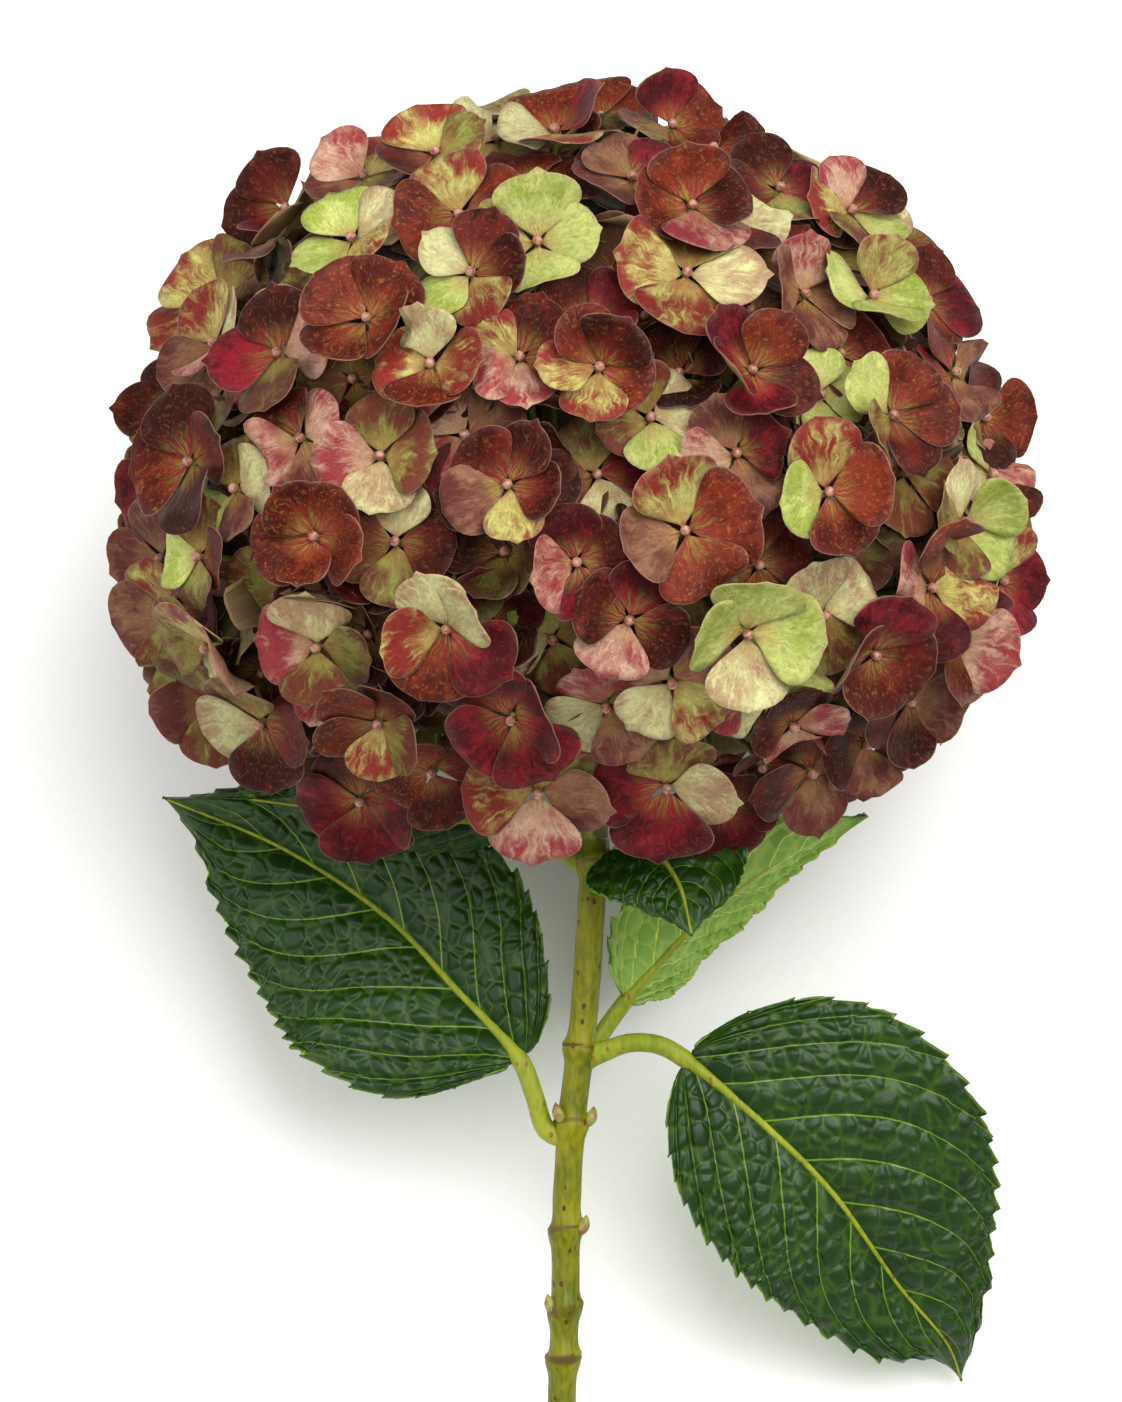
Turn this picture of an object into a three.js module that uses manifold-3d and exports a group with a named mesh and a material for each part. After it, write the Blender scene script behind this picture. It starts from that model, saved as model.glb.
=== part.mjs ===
// Cut hydrangea lying on a table: a domed head of four- and five-petalled florets, borne in clusters on
// rays that fork from the top of a knotty stem, with two large leaves, one folded leaf and two small ones.
//
// The plant is drawn standing, in its own frame: x to the right, y up along the stem and z out of the
// side that faces up when it lies. The origin of that frame is the centre of the dome. At the end the
// whole plant is laid back on the flattened underside of its head and the lower end of its stem.
// Lengths are millimetres and angles degrees unless a name says otherwise.
import * as THREE from "three";
import { mergeVertices } from "three/addons/utils/BufferGeometryUtils.js";
import Module from "manifold-3d";

const wasm = await Module();
wasm.setup();

// ---------------------------------------------------------------- driving dimensions
const HEAD = { across: 224, aboveCentre: 116, belowCentre: 72 };
const FLORET_INSET = 8; // from the dome's outline in to a floret's middle: its petals curl out to the outline
const BEDDING = 97; // height of the dome's centre over the table, less than its radius: the petals flatten
const ORIGIN_TO_DOME = { x: 0, y: 71.9 }; // puts the origin at the bottom centre of the whole cut stem

const RAY_APEX = new THREE.Vector3(0, -20, 0); // where the flower stalk forks
const RAYS = { count: 42, toPolar: 114, length: 34, groupings: 5 }; // a ray carries one cyme of florets
const JOINT_GAP = 0.35; // between pieces that meet

const FLORET = { depth: 2.4, cup: 0.24, notch: 0.8, gap: 0.3 }; // depth under the middle, rise to the rim
const PEDICEL_RADIUS = 0.8;
const FORK_AT = 0.42; // where a cyme forks, as a share of the way from its ray's end out to its florets
const BRANCH = { footRadius: 1.4, forkRadius: 1.8 };
const RAY = { footRadius: 2, endRadius: 1.7 };
const STALK_KNOT_RADIUS = 4.6;

const STEM = { radius: 3.3, topX: 4.6, topY: -67, endX: -4.5, endY: -272, cutSlope: 0.5 };
const NODE = { swell: 1, length: 3.2 }; // how far a node stands out of the stem, and along it
const NODES_Y = [-72.5, -117.6, -135.6, -160.8, -180, -192, -232];

const BLADE_THICKNESS = 1.2;
const MIDRIB = { thickness: 2.6, thinning: 0.7 }; // thins along the blade by this share
const PETIOLE_RADIUS = 1.8;

// The florets that face up, each placed by hand: x and y across the head, width, turn of the first petal,
// depth below the outline of the head, and number of petals.
const FACING_FLORETS = [
  [-52, 74, 31, 25, 0, 4], [-47, 53, 32, 50, -2, 4], [-69, 84, 34, 0, 0, 4], [-50, 90, 31, 40, 0, 4],
  [-33, 95, 31, 20, 0, 4], [-86, 62, 36, 30, 0, 4], [-75, 54, 26, 10, 4, 4], [-86, 51, 31, 15, 1, 4],
  [-66, 65, 29, 20, 6, 4], [-69, 47, 34, 0, 0, 4], [-99, 37, 29, 0, 2, 4], [-87, 39, 26, 10, 3, 4],
  [-89, 22, 36, 10, -1, 4], [-102, 16, 29, 0, 3, 4], [-81, 16, 29, 15, 2, 4], [-78, 30, 26, 0, 12, 4],
  [-66, 28, 29, 30, 3, 4], [-46, 23, 31, 0, 2, 4], [-58, 4, 32, 55, -3, 5], [-73, 5, 26, 60, 8, 4],
  [-43, 3, 31, 0, 3, 4], [-89, 0, 29, 0, 1, 4], [-100, 0, 31, 10, 2, 4], [-97, -14, 31, 20, 1, 4],
  [-95, -25, 29, 30, 1, 4], [-87, -33, 31, 20, 0, 4], [-74, -38, 34, 20, 0, 4], [-78, -12, 29, 0, 10, 4],
  [-62, -23, 31, 10, 3, 4], [-61, -33, 24, 0, 5, 4], [-45, -36, 31, -5, -2, 5], [-51, -54, 34, 10, 0, 4],
  [-29, -16, 35, -30, -2, 5], [-15, -37, 34, 30, 0, 4], [-9, -52, 35, -5, 0, 4], [0, -2, 30, 20, 0, 4],
  [-6, -26, 29, 20, 9, 4], [7, -37, 30, 35, 3, 4], [12, -15, 31, -25, 0, 4], [22, -30, 32, -40, 1, 4],
  [21, -51, 35, 0, 0, 4], [-35, -52, 30, 30, 4, 4], [-33, 43, 31, -5, -1, 4], [-13, 45, 30, -5, 0, 5],
  [5, 41, 31, -25, -3, 5], [-15, 15, 31, -10, -3, 5], [-27, 29, 29, 40, 5, 4], [5, 20, 28, 20, 8, 4],
  [24, 5, 34, 20, -2, 4], [18, 33, 29, 20, 5, 4], [-24, 64, 31, 0, -1, 5], [-27, 79, 34, 10, 0, 4],
  [-10, 89, 32, 20, 3, 4], [-19, 101, 30, 55, 2, 4], [-5, 100, 31, 10, 0, 4], [6, 108, 31, 20, 2, 4],
  [-9, 72, 31, 5, 0, 4], [13, 89, 30, 40, 1, 4], [26, 79, 32, 15, -2, 4], [38, 83, 31, 10, 4, 4],
  [23, 104, 29, 30, 1, 4], [25, 64, 36, -5, -1, 4], [3, 58, 30, 40, 6, 4], [39, 41, 32, -15, -2, 5],
  [33, 99, 28, 30, 2, 4], [49, 89, 31, 30, 2, 4], [64, 81, 31, -10, -1, 5], [68, 60, 32, 5, -1, 4],
  [76, 74, 29, 20, 1, 4], [84, 62, 30, 10, 1, 4], [54, 62, 30, 15, 2, 4], [52, 74, 28, 10, 5, 4],
  [64, 49, 29, 30, 4, 4], [72, 32, 34, 10, -1, 5], [90, 44, 31, 30, 1, 4], [98, 34, 30, 15, 1, 4],
  [59, 39, 22, 10, 4, 4], [38, 24, 30, 20, 3, 4], [56, 14, 34, 15, -2, 4], [38, -17, 34, -10, -2, 4],
  [59, -15, 31, 25, 3, 4], [68, -22, 34, -25, -1, 4], [81, -7, 35, -5, -1, 4], [89, 8, 32, -35, -1, 5],
  [99, 7, 31, 20, 2, 4], [102, -5, 30, 0, 1, 4], [79, 20, 30, 0, 3, 4], [99, 20, 31, 20, 1, 4],
  [45, -3, 29, 20, 6, 4], [89, -19, 34, -30, 0, 4], [79, -34, 34, -20, 1, 4], [52, -28, 30, 10, 5, 4],
  [41, -36, 24, 30, 5, 4], [52, -41, 26, 0, 3, 4], [69, -43, 30, -10, 1, 4], [56, -49, 34, 0, 1, 4],
  [35, -57, 30, 10, 2, 4], [45, -51, 24, 20, 4, 4],
];
// The rest of the head is filled along a spiral of equal areas from its crown to its open underside.
// Width, turn and depth change from one floret to the next, so that no two neighbours sit alike.
const SPIRAL = {
  florets: 168, toPolar: 122, nearest: 19, across: 31, spread: 3, phase: 2.3, turn: 37, depths: 3,
};
const GOLDEN_ANGLE = 180 * (3 - Math.sqrt(5));

// Each leaf: the points of its petiole from the stem to the blade, the points of its midrib from there to
// the tip, the widths of the blade to its left and right, the way its upper face looks, and its fold.
const LEAVES = [
  {
    name: "leaf_left_large",
    petiole: [[-7, -136.8, 0], [-10, -128.5, 1]],
    midrib: [[-13.4, -120, 0], [-29, -103, -5], [-45, -86.5, -11], [-70, -70, -18], [-101, -57, -26]],
    left: 38, right: 30, face: [0.05, -0.1, 1], fold: 9, rings: 18,
  },
  {
    name: "leaf_right_large",
    petiole: [[6.2, -118, 1.5], [13, -115.7, 4], [20, -116.2, 6]],
    midrib: [
      [26, -119.5, 6], [44, -134.4, 5], [61, -151.2, 1], [78, -175, -9], [90, -189.6, -18], [94, -199.7, -26],
    ],
    left: 42, right: 30, face: [0, 0.05, 1], fold: 7, rings: 18,
  },
  {
    name: "leaf_right_folded",
    petiole: [[6, -114, -5.6], [8.8, -110, -6]],
    midrib: [[11.8, -106, -6], [17, -99.6, -7], [28, -88, -10], [45, -74.8, -17], [70, -60.5, -28]],
    left: 22, right: 19, face: [-0.42, 0.57, -0.7], fold: 22, rings: 14,
  },
  {
    name: "leaf_right_small",
    petiole: [[9, -72.5, 2.5], [12, -67.5, 8]],
    midrib: [[14.5, -67.2, 14.6], [19.5, -70.2, 23.2], [24.5, -77.4, 29.4], [27.4, -89.3, 34]],
    left: 21, right: 20, face: [0, 0.6, 0.8], fold: 5, rings: 12,
  },
  {
    name: "leaf_left_small",
    petiole: [[-0.6, -72, -3.4], [-6, -66.5, -2]],
    midrib: [[-12, -64, -0.5], [-30, -62.5, 2], [-54, -60.5, 1], [-79, -57.5, -3]],
    left: 9, right: 7, face: [0.1, -0.5, 0.85], fold: 12, rings: 12,
  },
];
const BUDS = [[-4.3, -132.5, 3.5], [3.7, -133.5, 1.2], [1.9, -159.5, 2.2], [-6.2, -178.5, 1.6]];
const BUD = { radius: 1.7, stretch: 1.4 };

// ---------------------------------------------------------------- materials
const finish = (colour, roughness) =>
  new THREE.MeshStandardMaterial({ color: colour, roughness, metalness: 0 });
const stemGreen = finish("#8a8f1e", 0.45);
const stalkGreen = finish("#8f9440", 0.6);
const leafGreen = finish("#1f4a16", 0.3);
const petalShades = ["#6b2a2a", "#8a3c30", "#a9a653", "#7d2237", "#b9a36a", "#57221f"].map(
  (colour) => finish(colour, 0.7),
);

// ---------------------------------------------------------------- geometry helpers
const radians = THREE.MathUtils.degToRad;
const point = (list) => new THREE.Vector3(...list);
const curveOf = (points) => new THREE.CatmullRomCurve3(points, false, "centripetal");

// A geometry with its seams joined and its collapsed triangles dropped, so that it is one closed surface.
function closed(form) {
  form.deleteAttribute("normal");
  form.deleteAttribute("uv");
  const merged = mergeVertices(form, 1e-4);
  const corners = merged.index.array;
  const kept = [];
  for (let i = 0; i < corners.length; i += 3) {
    const [a, b, c] = corners.slice(i, i + 3);
    if (a !== b && b !== c && c !== a) kept.push(a, b, c);
  }
  return merged.setIndex(kept);
}

// A closed cylinder reshaped by a rule: place(along 0..1, across -1..1, over -1..1) gives each point.
function sweep(sides, rings, place) {
  const form = closed(new THREE.CylinderGeometry(1, 1, 1, sides, rings));
  const spots = form.attributes.position;
  for (let i = 0; i < spots.count; i++) {
    const spot = place(spots.getY(i) + 0.5, spots.getX(i), -spots.getZ(i));
    spots.setXYZ(i, spot.x, spot.y, spot.z);
  }
  return closed(form);
}

function solidOf(geometry) {
  return new wasm.Manifold(
    new wasm.Mesh({
      numProp: 3,
      vertProperties: geometry.attributes.position.array,
      triVerts: new Uint32Array(geometry.index.array),
    }),
  );
}

// Several closed shapes that run into each other, grown together as one.
function grown(geometries) {
  const joined = geometries.map(solidOf).reduce((whole, next) => whole.add(next));
  const { numProp, vertProperties, triVerts } = joined.getMesh();
  const vertices = new THREE.InterleavedBuffer(vertProperties, numProp);
  const geometry = new THREE.BufferGeometry();
  geometry.setAttribute("position", new THREE.InterleavedBufferAttribute(vertices, 3, 0));
  geometry.setIndex(new THREE.BufferAttribute(triVerts, 1));
  return geometry;
}

// A round rod between two points, thicker or thinner along its length.
function rod(from, to, startRadius, endRadius, sides) {
  const along = to.clone().sub(from).normalize();
  const across = new THREE.Vector3(0, 0, 1).cross(along);
  if (across.length() < 0.1) across.set(1, 0, 0).cross(along);
  across.normalize();
  const over = along.clone().cross(across);
  return sweep(sides, 1, (t, a, o) => {
    const radius = THREE.MathUtils.lerp(startRadius, endRadius, t);
    return from.clone().lerp(to, t).addScaledVector(across, a * radius).addScaledVector(over, o * radius);
  });
}

// ---------------------------------------------------------------- how the plant lies
// The lowest point of the slanted cut and the flattened head both touch the table.
const cutReach = -STEM.endY + STEM.cutSlope * STEM.radius;
const LEAN_BACK =
  Math.asin(BEDDING / Math.hypot(cutReach, STEM.radius)) - Math.atan2(STEM.radius, cutReach);
const upFromTable = new THREE.Vector3(0, Math.sin(LEAN_BACK), Math.cos(LEAN_BACK));
const heightOverTable = (spot) => spot.dot(upFromTable) + BEDDING;

// A point of a petal that would pass through the table slides back towards the rays until it lies on it.
function restOnTable(spot) {
  const height = heightOverTable(spot);
  if (height >= 0) return spot;
  const apexHeight = heightOverTable(RAY_APEX);
  return spot.lerp(RAY_APEX, -height / (apexHeight - height));
}

// ---------------------------------------------------------------- where the florets sit
const halfAcross = HEAD.across / 2 - FLORET_INSET;
const halfHeight = (y) => (y > 0 ? HEAD.aboveCentre : HEAD.belowCentre) - FLORET_INSET;
const outwards = (spot) =>
  new THREE.Vector3(
    spot.x / halfAcross ** 2,
    spot.y / halfHeight(spot.y) ** 2,
    spot.z / halfAcross ** 2,
  ).normalize();

// The i-th of count directions spread evenly on a golden spiral, from the crown down to a polar angle.
function spiralWay(i, count, toPolar) {
  const polarCosine = 1 - (1 - Math.cos(radians(toPolar))) * ((i + 0.5) / count);
  const ring = Math.sqrt(1 - polarCosine ** 2);
  const round = radians(i * GOLDEN_ANGLE);
  return new THREE.Vector3(ring * Math.cos(round), polarCosine, ring * Math.sin(round));
}

function makeFloret(spot, across, turn, inset, petals) {
  const face = outwards(spot);
  const middle = restOnTable(spot.clone().addScaledVector(face, -inset));
  let side = new THREE.Vector3(1, 0, 0).addScaledVector(face, -face.x);
  if (side.length() < 0.2) side = new THREE.Vector3(0, 0, 1).addScaledVector(face, -face.z);
  side.normalize();
  const up = face.clone().cross(side);
  const bearing = middle.clone().sub(RAY_APEX).normalize();
  return { middle, face, side, up, bearing, across, turn, petals };
}

const florets = FACING_FLORETS.map(([x, y, across, turn, inset, petals]) => {
  const rest = 1 - (x / halfAcross) ** 2 - (y / halfHeight(y)) ** 2;
  const z = halfAcross * Math.sqrt(Math.max(rest, 0));
  return makeFloret(new THREE.Vector3(x, y, z), across, turn, inset, petals);
});
const facingCount = florets.length;
for (let i = 0; i < SPIRAL.florets; i++) {
  const way = spiralWay(i, SPIRAL.florets, SPIRAL.toPolar);
  const reach = 1 / Math.hypot(way.x / halfAcross, way.y / halfHeight(way.y), way.z / halfAcross);
  const spot = way.multiplyScalar(reach);
  const taken = florets
    .slice(0, facingCount)
    .some(({ middle }) => middle.distanceTo(spot) < SPIRAL.nearest);
  if (taken) continue;
  const across = SPIRAL.across + SPIRAL.spread * Math.sin(i * SPIRAL.phase);
  florets.push(makeFloret(spot, across, i * SPIRAL.turn, i % SPIRAL.depths, 4));
}

// Florets group into cymes by the nearest ray, and each ray swings to the middle of its florets.
const rays = [];
for (let i = 0; i < RAYS.count; i++) rays.push(spiralWay(i, RAYS.count, RAYS.toPolar));
const cymes = rays.map(() => []);
for (let grouping = 0; grouping < RAYS.groupings; grouping++) {
  cymes.forEach((cyme) => (cyme.length = 0));
  for (const floret of florets) {
    const nearness = rays.map((ray) => ray.dot(floret.bearing));
    cymes[nearness.indexOf(Math.max(...nearness))].push(floret);
  }
  rays.forEach((ray, i) => {
    if (!cymes[i].length) return;
    ray.set(0, 0, 0);
    cymes[i].forEach(({ bearing }) => ray.add(bearing));
    ray.normalize();
  });
}

// ---------------------------------------------------------------- pieces
// A floret: its petals as one thin lobed plate, on its pedicel from the fork. Each point of the rim keeps
// to the floret's own share of the head, the cone from the apex in which its middle is the nearest, so no
// two florets run into each other.
function floretShape(floret, fork) {
  const { middle, face, side, up, bearing, across, turn, petals } = floret;
  const fromApex = middle.clone().sub(RAY_APEX);
  const borders = florets
    .filter((other) => other !== floret)
    .map((other) => bearing.clone().sub(other.bearing).normalize());
  const points = new Map();
  const rimPoint = (lobe) => {
    if (points.has(lobe)) return points.get(lobe);
    const angle = (lobe / petals) * Math.PI + radians(turn);
    const way = side
      .clone()
      .multiplyScalar(Math.cos(angle))
      .addScaledVector(up, Math.sin(angle))
      .addScaledVector(face, FLORET.cup);
    let reach = (across / 2) * (lobe % 2 ? FLORET.notch : 1);
    for (const border of borders) {
      const closing = -way.dot(border);
      if (closing > 0) reach = Math.min(reach, (fromApex.dot(border) - FLORET.gap) / closing);
    }
    points.set(lobe, restOnTable(middle.clone().addScaledVector(way, reach)));
    return points.get(lobe);
  };
  const neck = middle.clone().addScaledVector(bearing, -FLORET.depth);
  const pedicel = neck.clone().sub(fork);
  const pedicelSide = side.clone().addScaledVector(pedicel, -side.dot(pedicel) / pedicel.lengthSq());
  pedicelSide.normalize();
  const pedicelUp = pedicel.clone().cross(pedicelSide).normalize();
  // from the fork up the pedicel, out under the petals to their rim, and in over them to the middle; the
  // pedicel has one side to each petal
  return sweep(2 * petals, 2, (t, a, o) => {
    if (Math.hypot(a, o) < 0.5) return (t > 0.5 ? middle : fork).clone();
    const turns = Math.round((Math.atan2(o, a) / Math.PI) * petals);
    const lobe = (turns + 2 * petals) % (2 * petals);
    if (t > 0.9) return rimPoint(lobe).clone();
    const angle = (Math.floor(lobe / 2) / petals) * 2 * Math.PI + radians(turn);
    return (t < 0.1 ? fork : neck)
      .clone()
      .addScaledVector(pedicelSide, Math.cos(angle) * PEDICEL_RADIUS)
      .addScaledVector(pedicelUp, Math.sin(angle) * PEDICEL_RADIUS);
  });
}

// One cyme: its branch from the end of a ray, forking into a pedicel under each floret.
function cymeSolid(ray, members) {
  const nearest = Math.min(...members.map(({ middle }) => middle.distanceTo(RAY_APEX)));
  const foot = RAY_APEX.clone().addScaledVector(ray, RAYS.length + JOINT_GAP);
  const forkReach = THREE.MathUtils.lerp(RAYS.length, nearest, FORK_AT);
  const fork = RAY_APEX.clone().addScaledVector(ray, forkReach);
  const shapes = [rod(foot, fork, BRANCH.footRadius, BRANCH.forkRadius, 5)];
  const forkInside = fork.clone().addScaledVector(ray, -BRANCH.footRadius);
  for (const floret of members) {
    shapes.push(floretShape(floret, forkInside));
  }
  return grown(shapes);
}

const stemPath = curveOf([
  [STEM.topX, STEM.topY, 0], [3.8, -81.6, 0], [2.2, -105.6, 0], [1, -117.6, 0], [-1, -134.4, 0],
  [-2.2, -153.6, 0], [-2.6, -177.6, 0], [-3.4, -202, 0], [STEM.endX, STEM.endY, 0],
].map(point));

function stemSolid() {
  const rings = 44;
  const radiusAt = (y) =>
    STEM.radius +
    NODE.swell * NODES_Y.reduce((sum, node) => sum + Math.exp(-(((y - node) / NODE.length) ** 2)), 0);
  const shaft = sweep(10, rings, (t, a, o) => {
    const centre = stemPath.getPointAt(t);
    const radius = radiusAt(centre.y);
    const slant = STEM.cutSlope * THREE.MathUtils.smoothstep(t, 1 - 1.5 / rings, 1);
    return new THREE.Vector3(centre.x + a * radius, centre.y + o * radius * slant, o * radius);
  });
  const bud = (spot) =>
    closed(new THREE.SphereGeometry(BUD.radius, 8, 6)).scale(1, BUD.stretch, 1).translate(...spot);
  return grown([shaft, ...BUDS.map(bud)]);
}

function stalkSolid() {
  const top = new THREE.Vector3(STEM.topX, STEM.topY + JOINT_GAP, 0);
  const knot = closed(new THREE.IcosahedronGeometry(STALK_KNOT_RADIUS, 1)).translate(...RAY_APEX);
  const shapes = [rod(top, RAY_APEX, STEM.radius, STEM.radius, 10), knot];
  for (const ray of rays) {
    const tip = RAY_APEX.clone().addScaledVector(ray, RAYS.length);
    shapes.push(rod(RAY_APEX, tip, RAY.footRadius, RAY.endRadius, 4));
  }
  return grown(shapes);
}

// Half the width of a blade along its length, broadest below the middle and drawn out to a point.
const BLADE_SHOULDER = 0.6;
const BLADE_POINT = 1.05;
const bladeShape = (s) => s ** BLADE_SHOULDER * (1 - s) ** BLADE_POINT;
const widest = BLADE_SHOULDER / (BLADE_SHOULDER + BLADE_POINT);

function leafSolid({ petiole, midrib, left, right, face, fold, rings }) {
  const path = curveOf([...petiole, ...midrib].map(point));
  const bladeFrom = 1 - curveOf(midrib.map(point)).getLength() / path.getLength();
  const lift = Math.tan(radians(fold));
  return sweep(8, rings, (t, a, o) => {
    const centre = path.getPointAt(t);
    const along = path.getTangentAt(t);
    const over = point(face);
    over.addScaledVector(along, -over.dot(along)).normalize();
    const across = over.clone().cross(along);
    const s = THREE.MathUtils.clamp((t - bladeFrom) / (1 - bladeFrom), 0, 0.995);
    const swell = bladeShape(s) / bladeShape(widest);
    const halfWidth = Math.max((a > 0 ? left : right) * swell, PETIOLE_RADIUS * (1 - s));
    const blade = THREE.MathUtils.clamp(swell * 4, 0, 1);
    const flat = Math.abs(o) > 0.99 ? MIDRIB.thickness * (1 - MIDRIB.thinning * s) : BLADE_THICKNESS;
    const thickness = THREE.MathUtils.lerp(2 * PETIOLE_RADIUS, flat, blade);
    return centre
      .addScaledVector(across, a * halfWidth)
      .addScaledVector(over, (o * thickness) / 2 + Math.abs(a) * halfWidth * lift * blade);
  });
}

// ---------------------------------------------------------------- the plant, put together and laid down
const plant = new THREE.Group();
const addPiece = (name, geometry, material) => {
  const mesh = new THREE.Mesh(geometry, material);
  mesh.name = name;
  plant.add(mesh);
};

addPiece("stem", stemSolid(), stemGreen);
addPiece("flower_stalk", stalkSolid(), stalkGreen);
for (const leaf of LEAVES) addPiece(leaf.name, leafSolid(leaf), leafGreen);
cymes.forEach((members, i) => {
  const name = `cyme_${String(i + 1).padStart(2, "0")}`;
  addPiece(name, cymeSolid(rays[i], members), petalShades[i % petalShades.length]);
});
plant.rotation.x = LEAN_BACK;
plant.position.set(ORIGIN_TO_DOME.x, ORIGIN_TO_DOME.y, BEDDING);

const hydrangea = new THREE.Group();
hydrangea.add(plant);
export default hydrangea;
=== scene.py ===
import math
import random

import bmesh
import bpy
from mathutils import Matrix, Vector, noise


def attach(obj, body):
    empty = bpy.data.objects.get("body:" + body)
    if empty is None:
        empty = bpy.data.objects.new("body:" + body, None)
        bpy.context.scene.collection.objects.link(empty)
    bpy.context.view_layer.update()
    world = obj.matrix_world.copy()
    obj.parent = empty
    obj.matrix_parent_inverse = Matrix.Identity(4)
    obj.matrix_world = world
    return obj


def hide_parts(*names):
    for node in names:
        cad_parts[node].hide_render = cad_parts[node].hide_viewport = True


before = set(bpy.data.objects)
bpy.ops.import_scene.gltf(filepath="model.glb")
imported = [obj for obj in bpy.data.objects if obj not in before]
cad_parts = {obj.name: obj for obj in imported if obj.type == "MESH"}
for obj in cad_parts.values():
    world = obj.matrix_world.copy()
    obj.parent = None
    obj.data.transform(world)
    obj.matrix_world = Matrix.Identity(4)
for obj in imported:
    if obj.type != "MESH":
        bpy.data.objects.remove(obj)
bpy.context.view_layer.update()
bpy.ops.object.select_all(action="DESELECT")

# ---------------------------------------------------------------- how the cut flower lies
# A cut flower laid on its back: the petals under its head are pressed flat and the slanted lower end of
# the stem touches the table. The plant is drawn standing, in millimetres, with y up the stem and z out
# of the side that faces up, from the middle of its head. `lie` lays it down, in metres.
HEAD_ACROSS, HEAD_ABOVE, HEAD_BELOW = 224, 116, 72
BEDDING = 97
ORIGIN_TO_DOME_Y = 71.9
STEM_RADIUS, STEM_TOP, STEM_END, CUT_SLOPE = 3.3, (4.6, -67, 0), (-4.5, -272, 0), 0.5

cut_reach = -STEM_END[1] + CUT_SLOPE * STEM_RADIUS
lean_back = math.asin(BEDDING / math.hypot(cut_reach, STEM_RADIUS)) - math.atan2(STEM_RADIUS, cut_reach)
MILLIMETRE = 0.001
lie = (
    Matrix.Scale(MILLIMETRE, 4)
    @ Matrix.Translation((0, ORIGIN_TO_DOME_Y, BEDDING))
    @ Matrix.Rotation(lean_back, 4, "X")
)


# ---------------------------------------------------------------- main stem
# The flowering shoot itself: a green, slightly woody round stalk, thicker at its nodes, where a pair of
# leaves grew and left brown crescent scars. It grew in one piece and was cut with a slant.
def smooth_path(points):
    """at(t): the place and the direction at a share t of the length of a curve through the points."""
    points = [Vector(p) for p in points]
    ends = [2 * points[0] - points[1]] + points + [2 * points[-1] - points[-2]]
    places = []
    for before, start, end, after in zip(ends, ends[1:], ends[2:], ends[3:]):
        d0, d1, d2 = ((q - p).length ** 0.5 for p, q in ((before, start), (start, end), (end, after)))
        leave = ((start - before) / d0 - (end - before) / (d0 + d1) + (end - start) / d1) * d1
        arrive = ((end - start) / d1 - (after - start) / (d1 + d2) + (after - end) / d2) * d1
        for t in (k / 24 for k in range(24)):
            ease = t * t * (3 - 2 * t)
            bend = leave * (t * (1 - t) ** 2) - arrive * (t * t * (1 - t))
            places.append(start.lerp(end, ease) + bend)
    places.append(points[-1])
    reach = [0]
    for p, q in zip(places, places[1:]):
        reach.append(reach[-1] + (q - p).length)

    def at(t):
        target = min(max(t, 0), 1) * reach[-1]
        i = next((k for k in range(1, len(reach)) if reach[k] >= target), len(reach) - 1)
        share = (target - reach[i - 1]) / (reach[i] - reach[i - 1])
        return places[i - 1].lerp(places[i], share), (places[i] - places[i - 1]).normalized()

    at.length = reach[-1]
    return at


def rolled(name, around, along, place):
    """A closed tube: a grid rolled up, its seam merged and its ends filled. place(turn, t) is in the
    standing plant's millimetres, for turn 0..1 round it and t 0..1 along it. Its UV map keeps both."""
    bpy.ops.mesh.primitive_grid_add(x_subdivisions=around, y_subdivisions=along, size=1)
    tube = bpy.context.object
    tube.name = tube.data.name = name
    for vertex in tube.data.vertices:
        vertex.co = lie @ place(vertex.co.x + 0.5, vertex.co.y + 0.5)
    bpy.ops.object.mode_set(mode="EDIT")
    bpy.ops.mesh.select_all(action="SELECT")
    bpy.ops.mesh.remove_doubles(threshold=0.00001)
    bpy.ops.mesh.fill_holes(sides=0)
    bpy.ops.mesh.normals_make_consistent(inside=False)
    bpy.ops.object.mode_set(mode="OBJECT")
    bpy.ops.object.shade_smooth_by_angle(angle=math.radians(50))
    tube.location = (0, 0, 0)
    tube.select_set(False)
    return tube


def mark(piece, name, measure):
    """Keeps a number at every vertex of a piece, for its material: measure(place in the plant, in mm)."""
    standing = lie.inverted()
    layer = piece.data.attributes.new(name, "FLOAT", "POINT")
    for vertex, entry in zip(piece.data.vertices, layer.data):
        entry.value = measure(standing @ vertex.co)


NODE_SWELL, NODE_LENGTH, NODE_TILT = 1.0, 2.6, 0.9
LIP_SWELL, LIP_LENGTH, LIP_ABOVE = 0.35, 0.7, 1.2
RIBS, RIB_HEIGHT, BARK_RELIEF = 6, 0.07, 0.12
SCAR_DEPTH, SCAR_ABOVE, SCAR_DIP = 0.5, 0.9, 0.18
CUT_FROM = 0.985  # the share of the stem's length where the slant of the cut begins
PITH_RADIUS = 3.0
NODES_Y = (-72.5, -117.6, -135.6, -160.8, -180, -192, -232)
STEM_POINTS = (
    STEM_TOP, (3.8, -81.6, 0), (2.2, -105.6, 0), (1, -117.6, 0), (-1, -134.4, 0), (-2.2, -153.6, 0),
    (-2.6, -177.6, 0), (-3.4, -202, 0), STEM_END,
)
stem_path = smooth_path(STEM_POINTS)


def from_node(y):
    """Signed distance along the stem to the nearest node, in mm."""
    return min((y - node for node in NODES_Y), key=abs)


def node_turn(y):
    """The angle that a node leans to, other from node to node."""
    return y // 19


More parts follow.
